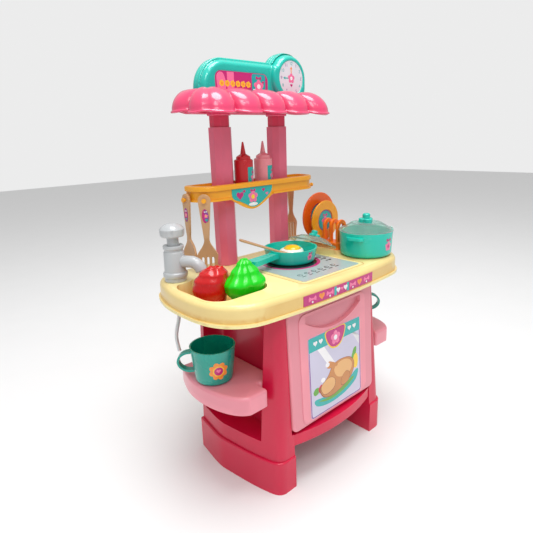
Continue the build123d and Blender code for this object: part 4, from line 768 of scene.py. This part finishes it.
def canopy_rings():
    right = lobe_line()
    line = right + [(0, CANOPY_BACK, 0.5, 0)] + [(-x, y, s, c) for x, y, s, c in reversed(right[1:])]
    rings = []

    def add_ring(push, share, rise, climb):
        ring = []
        for x, y, s, crease in line:
            dip = 1 - math.sin(math.pi * s) ** 0.7
            foot = CANOPY_FOOT + 4.6 * dip * (0.4 + 0.6 * crease) + 4.5 * clamp((y - 40) / 30, 0, 1)
            top = CANOPY_TOP - 6.0 * dip * crease
            near = Vector((clamp(x, -100, 100), clamp(y, 62, 104), 0))
            out = Vector((x, y, 0)) - near
            way = out.normalized() if out.length > 1e-6 else Vector((0, 1, 0))
            crest = near + way * 10
            p = Vector((x, y, 0)) + way * push
            p += (crest - p) * share
            ring.append(Vector((p.x, p.y, foot + rise + (top - foot - rise) * climb)) * MM)
        rings.append(ring)

    for push, rise in ((0.2, 0), (1.1, 0.5), (1.4, 1.6), (1.0, 2.7), (-0.6, 3.4), (-1.2, 4.4)):
        add_ring(push, 0, rise, 0)
    for k in range(1, 17):
        a = math.pi / 2 * k / 16
        add_ring(-1.2, (1 - math.cos(a)) ** 0.85, 4.4, math.sin(a) ** 0.92)
    for reach, z in ((8, 611), (4, 608), (0.5, 606)):
        ring = []
        for x, y, *_ in line:
            core = Vector((clamp(x, -95, 95), clamp(y, 70, 104), 0))
            out = Vector((x, y, 0)) - core
            ring.append((Vector((core.x, core.y, z)) + out.normalized() * reach) * MM)
        rings.append(ring)
    return rings


verts, faces = skin(canopy_rings(), closed=False)
faces.append(tuple(range(len(verts) - len(lobe_line()) * 2, len(verts))))
canopy = new_piece("canopy_shell", verts, faces, CANOPY, "kitchen")
wall = canopy.modifiers.new("wall", "SOLIDIFY")
wall.thickness = 0.0026
wall.offset = -1
settle(canopy)
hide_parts("canopy")


def octagon(cx, cy, width, depth, z):
    c = width * 0.24
    hw, hd = width / 2, depth / 2
    flat = [(hw, -hd + c), (hw, hd - c), (hw - c, hd), (-hw + c, hd), (-hw, hd - c), (-hw, -hd + c), (-hw + c, -hd), (hw - c, -hd)]
    return [Vector((cx + u, cy + v, z)) * MM for u, v in flat]


for side, x in (("left", -64), ("right", 64)):
    rings = [octagon(x, 88, 31.8, 27.8, 606), octagon(x, 88, 31.8, 27.8, 578.4), octagon(x, 88, 36, 32, 578),
             octagon(x, 88, 37, 33, 579.4), octagon(x, 88, 37, 33, 606), octagon(x, 88, 31.8, 27.8, 606)]
    verts, faces = skin(rings, closed=False)
    new_piece(f"canopy_socket_{side}", verts, faces, CANOPY, "kitchen", smooth=False)


# vegetables
def vegetable(name, node, material, body, centre, stations, wobble, foot=304.4):
    """Bumpy moulded vegetable; stations are height, radius and sideways shift."""
    rings = []
    rows, around = 40, 96
    for row in range(rows + 1):
        place = row / rows * (len(stations) - 1)
        k = min(int(place), len(stations) - 2)
        t = place - k
        ease = t * t * (3 - 2 * t)
        h, r, sx, sy = (spread(a, b, t if i == 0 else ease) for i, (a, b) in enumerate(zip(stations[k], stations[k + 1])))
        ring = []
        for j in range(around):
            angle = TAU * j / around
            grow, lift = wobble(angle, row / rows)
            rr = r * grow
            ring.append(Vector((
                centre[0] + sx + rr * math.cos(angle), centre[1] + sy + rr * math.sin(angle), foot + h + lift,
            )) * MM)
        rings.append(ring)
    verts, faces = skin(rings)
    made = new_piece(name, verts, faces, material, body)
    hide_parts(node)


def red_wobble(a, t):
    """Low lobes and a dimpled crown."""
    crown = clamp((t - 0.45) / 0.3, 0, 1)
    grow = 1 + 0.035 * math.cos(4 * a + 0.6) * clamp(t * 2, 0, 1) + 0.014 * crown * math.cos(13 * a)
    lift = 0.7 * crown * math.cos(7 * a + 9 * t)
    return grow, lift


def green_wobble(a, t):
    """A long fan across the sink, with folds down its sides."""
    folds = math.sin(math.pi * clamp(t * 1.1, 0, 1))
    ridge = abs(math.cos(3.5 * a + 0.5)) ** 0.8
    long = 0.32 * clamp(t * 5, 0, 1) * math.cos(2 * (a + 0.17))
    return 1 + long + 0.1 * folds * (ridge - 0.6), 1.0 * folds * math.cos(7 * a + 1.0)


vegetable(
    "red_vegetable", "red_pepper", RED, "red_pepper", (-166, -8),
    [(0, 17, 0, 5), (8, 23, 0, 5), (24, 27.5, 0, 5), (38, 26, 2, 4), (49, 21, 4, 1), (57, 12, 6, -1), (55, 1.5, 6, -1)],
    red_wobble,
)
vegetable(
    "green_vegetable", "green_pepper", GREEN, "green_pepper", (-122, -34),
    [(0, 14, 0, 0), (9, 19, -4, -3), (25, 24, -8, -6), (33, 25, -8, -6), (48, 16.5, -5, -3), (60, 9, -3, 0),
     (67, 4, -2, 2), (67.4, 1, -2, 2)],
    green_wobble,
)

# fried egg
egg_rings = []
for share, height in ((0.97, 0.3), (1.0, 2.5), (0.985, 7), (0.93, 11), (0.84, 14), (0.74, 15.8), (0.62, 16.6), (0.3, 16.6)):
    ring = []
    for j in range(72):
        a = TAU * j / 72
        r = 24.4 * share * (1 + 0.05 * math.cos(3 * a + 0.7) + 0.035 * math.cos(5 * a) + 0.06 * math.cos(a - 2.4))
        ring.append(Vector((30 + r * math.cos(a), 19.5 + 0.95 * r * math.sin(a), 333.9 + height)) * MM)
    egg_rings.append(ring)
verts, faces = skin(egg_rings)
egg = new_piece("egg_white_blob", verts, faces, EGG_WHITE, "fried_egg")
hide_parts("egg_white")
yolk_rings = []
for k in range(13):
    a = math.pi / 2 * k / 12
    yolk_rings.append([
        Vector((
            30 + (15.2 * math.cos(a) + 0.3) * math.cos(TAU * j / 48),
            19.5 + (15.2 * math.cos(a) + 0.3) * math.sin(TAU * j / 48), 349.0 + 7.6 * math.sin(a),
        )) * MM for j in range(48)
    ])
verts, faces = skin(yolk_rings)
yolk = new_piece("egg_yolk_dome", verts, faces, YOLK, "fried_egg")
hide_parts("egg_yolk")


# tap: ringed column with a thick arched spout
TAP_X, TAP_Y, TAP_Z = -180.0, 70.0, 330.0
SPOUT_HEADING = math.radians(-60)
column = [
    (6, -26), (7, -26), (7, 0), (16.6, 0), (17.2, 0.8), (17.2, 5.6), (16.9, 6.6), (18.6, 7.2), (19.2, 8.4), (19.2, 13),
    (18.6, 14.2), (17, 15.2), (16.7, 16.4), (15.8, 46), (15.2, 47.2), (14.4, 48), (14.3, 50.6), (15.2, 51.4), (16, 52.2),
    (16, 56), (15.2, 57), (10.4, 57), (9.7, 56.4), (9.7, 52), (12, 52), (12, 4), (6, 4), (6, -26),
]
column_rings = [
    [Vector((TAP_X + r * math.cos(TAU * j / 64), TAP_Y + r * math.sin(TAU * j / 64), TAP_Z + h)) * MM for j in range(64)]
    for r, h in column
]
verts, faces = skin(column_rings, closed=False)
tap_column = new_piece("tap_column", verts, faces, GREY, "kitchen")
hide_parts("tap_body")
edges = tap_column.modifiers.new("edges", "BEVEL")
edges.width = 0.0004
edges.segments = 2
settle(tap_column)

SPOUT_R, SPOUT_BORE, SPOUT_HEIGHT, SPOUT_RUN, SPOUT_BEND = 9.3, 7.0, 31.5, 28.0, 18.1
spout_line = [(12.6 + 3.08 * k, SPOUT_HEIGHT, 0) for k in range(5)]
for k in range(13):
    turn = math.radians(75) * k / 12
    spout_line.append((
        SPOUT_RUN + SPOUT_BEND * math.sin(turn), SPOUT_HEIGHT - SPOUT_BEND * (1 - math.cos(turn)), turn,
    ))


def spout_ring(reach, height, turn, radius):
    """A ring round the spout's middle line."""
    ring = []
    for j in range(40):
        side, over = radius * math.cos(TAU * j / 40), radius * math.sin(TAU * j / 40)
        d, h = reach + over * math.sin(turn), height + over * math.cos(turn)
        ring.append(Vector((
            TAP_X + d * math.cos(SPOUT_HEADING) - side * math.sin(SPOUT_HEADING),
            TAP_Y + d * math.sin(SPOUT_HEADING) + side * math.cos(SPOUT_HEADING), TAP_Z + h,
        )) * MM)
    return ring


spout_rings = [spout_ring(*place, SPOUT_R) for place in spout_line]
spout_rings += [spout_ring(*spout_line[-1], radius) for radius in (SPOUT_R - 0.5, SPOUT_BORE + 0.5)]
spout_rings += [spout_ring(*place, SPOUT_BORE) for place in reversed(spout_line[6:])]
verts, faces = skin(spout_rings)
new_piece("tap_spout", verts, faces, GREY, "kitchen")


# utensils: rounded edges and dished heads
def hanging_shape(px, py, heading, dish):
    """Maps a point of a hanging utensil; dish gives the depth at a place across and down the utensil."""
    out = (math.cos(math.radians(heading)), math.sin(math.radians(heading)))

    def shape(x, y, z):
        across = -(x - px) * out[1] + (y - py) * out[0]
        move = dish(across, z - 450)
        return x + out[0] * move, y + out[1] * move, z
    return shape


def spoon_dish(u, v):
    reach = 1 - (u / 16) ** 2 - ((v + 84) / 20) ** 2
    return -3.4 * max(0.0, reach)


def fork_dish(u, v):
    t = clamp((-v - 60) / 50, 0, 1)
    return -2.2 * math.sin(math.pi * t) * (1 - (u / 17) ** 2)


def turner_dish(u, v):
    return 0.8 * math.sin(math.pi * clamp((-v - 55) / 57, 0, 1)) - 0.4


softened("spoon_form", "spoon", "spoon", TAN, 0.6, shape=hanging_shape(-134, 90, 180, spoon_dish))
softened("fork_form", "fork", "fork", TAN, 0.6, shape=hanging_shape(-124.04, 58.96, 225, fork_dish))
softened("turner_form", "turner", "turner", TAN, 0.6, shape=hanging_shape(121, 108, 90, turner_dish))
# sign: the back half rounded, the front half rounded and puffed towards its outline
def wall_finder(piece):
    """Finds places on a piece's outer wall, seen from the front."""
    edge = [v.co for v in piece.data.vertices if abs(v.normal.y) < 0.35]
    tree = KDTree(len(edge))
    for k, place in enumerate(edge):
        tree.insert((place.x, 0, place.z), k)
    tree.balance()
    return tree


def puff(tree):
    """Thins a half of the sign close to its outline, as a quarter round."""
    def shape(x, y, z):
        _, _, far = tree.find((x * MM, 0, z * MM))
        near = 1 - clamp((far / MM - PUFF_START) / PUFF_REACH, 0, 1)
        return x, SIGN_SPLIT + (y - SIGN_SPLIT) * (PUFF_EDGE + (1 - PUFF_EDGE) * math.sqrt(1 - near ** 2)), z
    return shape


SIGN_SPLIT, PUFF_START, PUFF_REACH, PUFF_EDGE = 94.0, 0.8, 8.0, 0.4
sign_back = softened("sign_back_form", "sign_back", "kitchen", TURQUOISE, 1.3, rounds=3)
sign_front = softened(
    "sign_front_form", "sign_front", "kitchen", TURQUOISE, 1.1, rounds=3,
    shape=puff(wall_finder(sign_back)),
)
even = sign_front.modifiers.new("even", "SMOOTH")
even.iterations = 5
settle(sign_front)

softened("serving_spoon_form", "pan_spoon", "pan_spoon", TAN, 0.55)
softened("dish_rack_loops", "dish_rack", "kitchen", ORANGE, 0.7, rounds=2)

# ---------------------------------------------------------------- floor
floor_mesh = bpy.data.meshes.new("floor")
floor_mesh.from_pydata([(-6, -6, 0), (6, -6, 0), (6, 6, 0), (-6, 6, 0)], [], [(0, 1, 2, 3)])
floor = bpy.data.objects.new("floor", floor_mesh)
bpy.context.scene.collection.objects.link(floor)
floor_mesh.materials.append(plastic("floor_paper", (0.9, 0.9, 0.9, 1), 0.7, vary=0.01, coat=0.0))
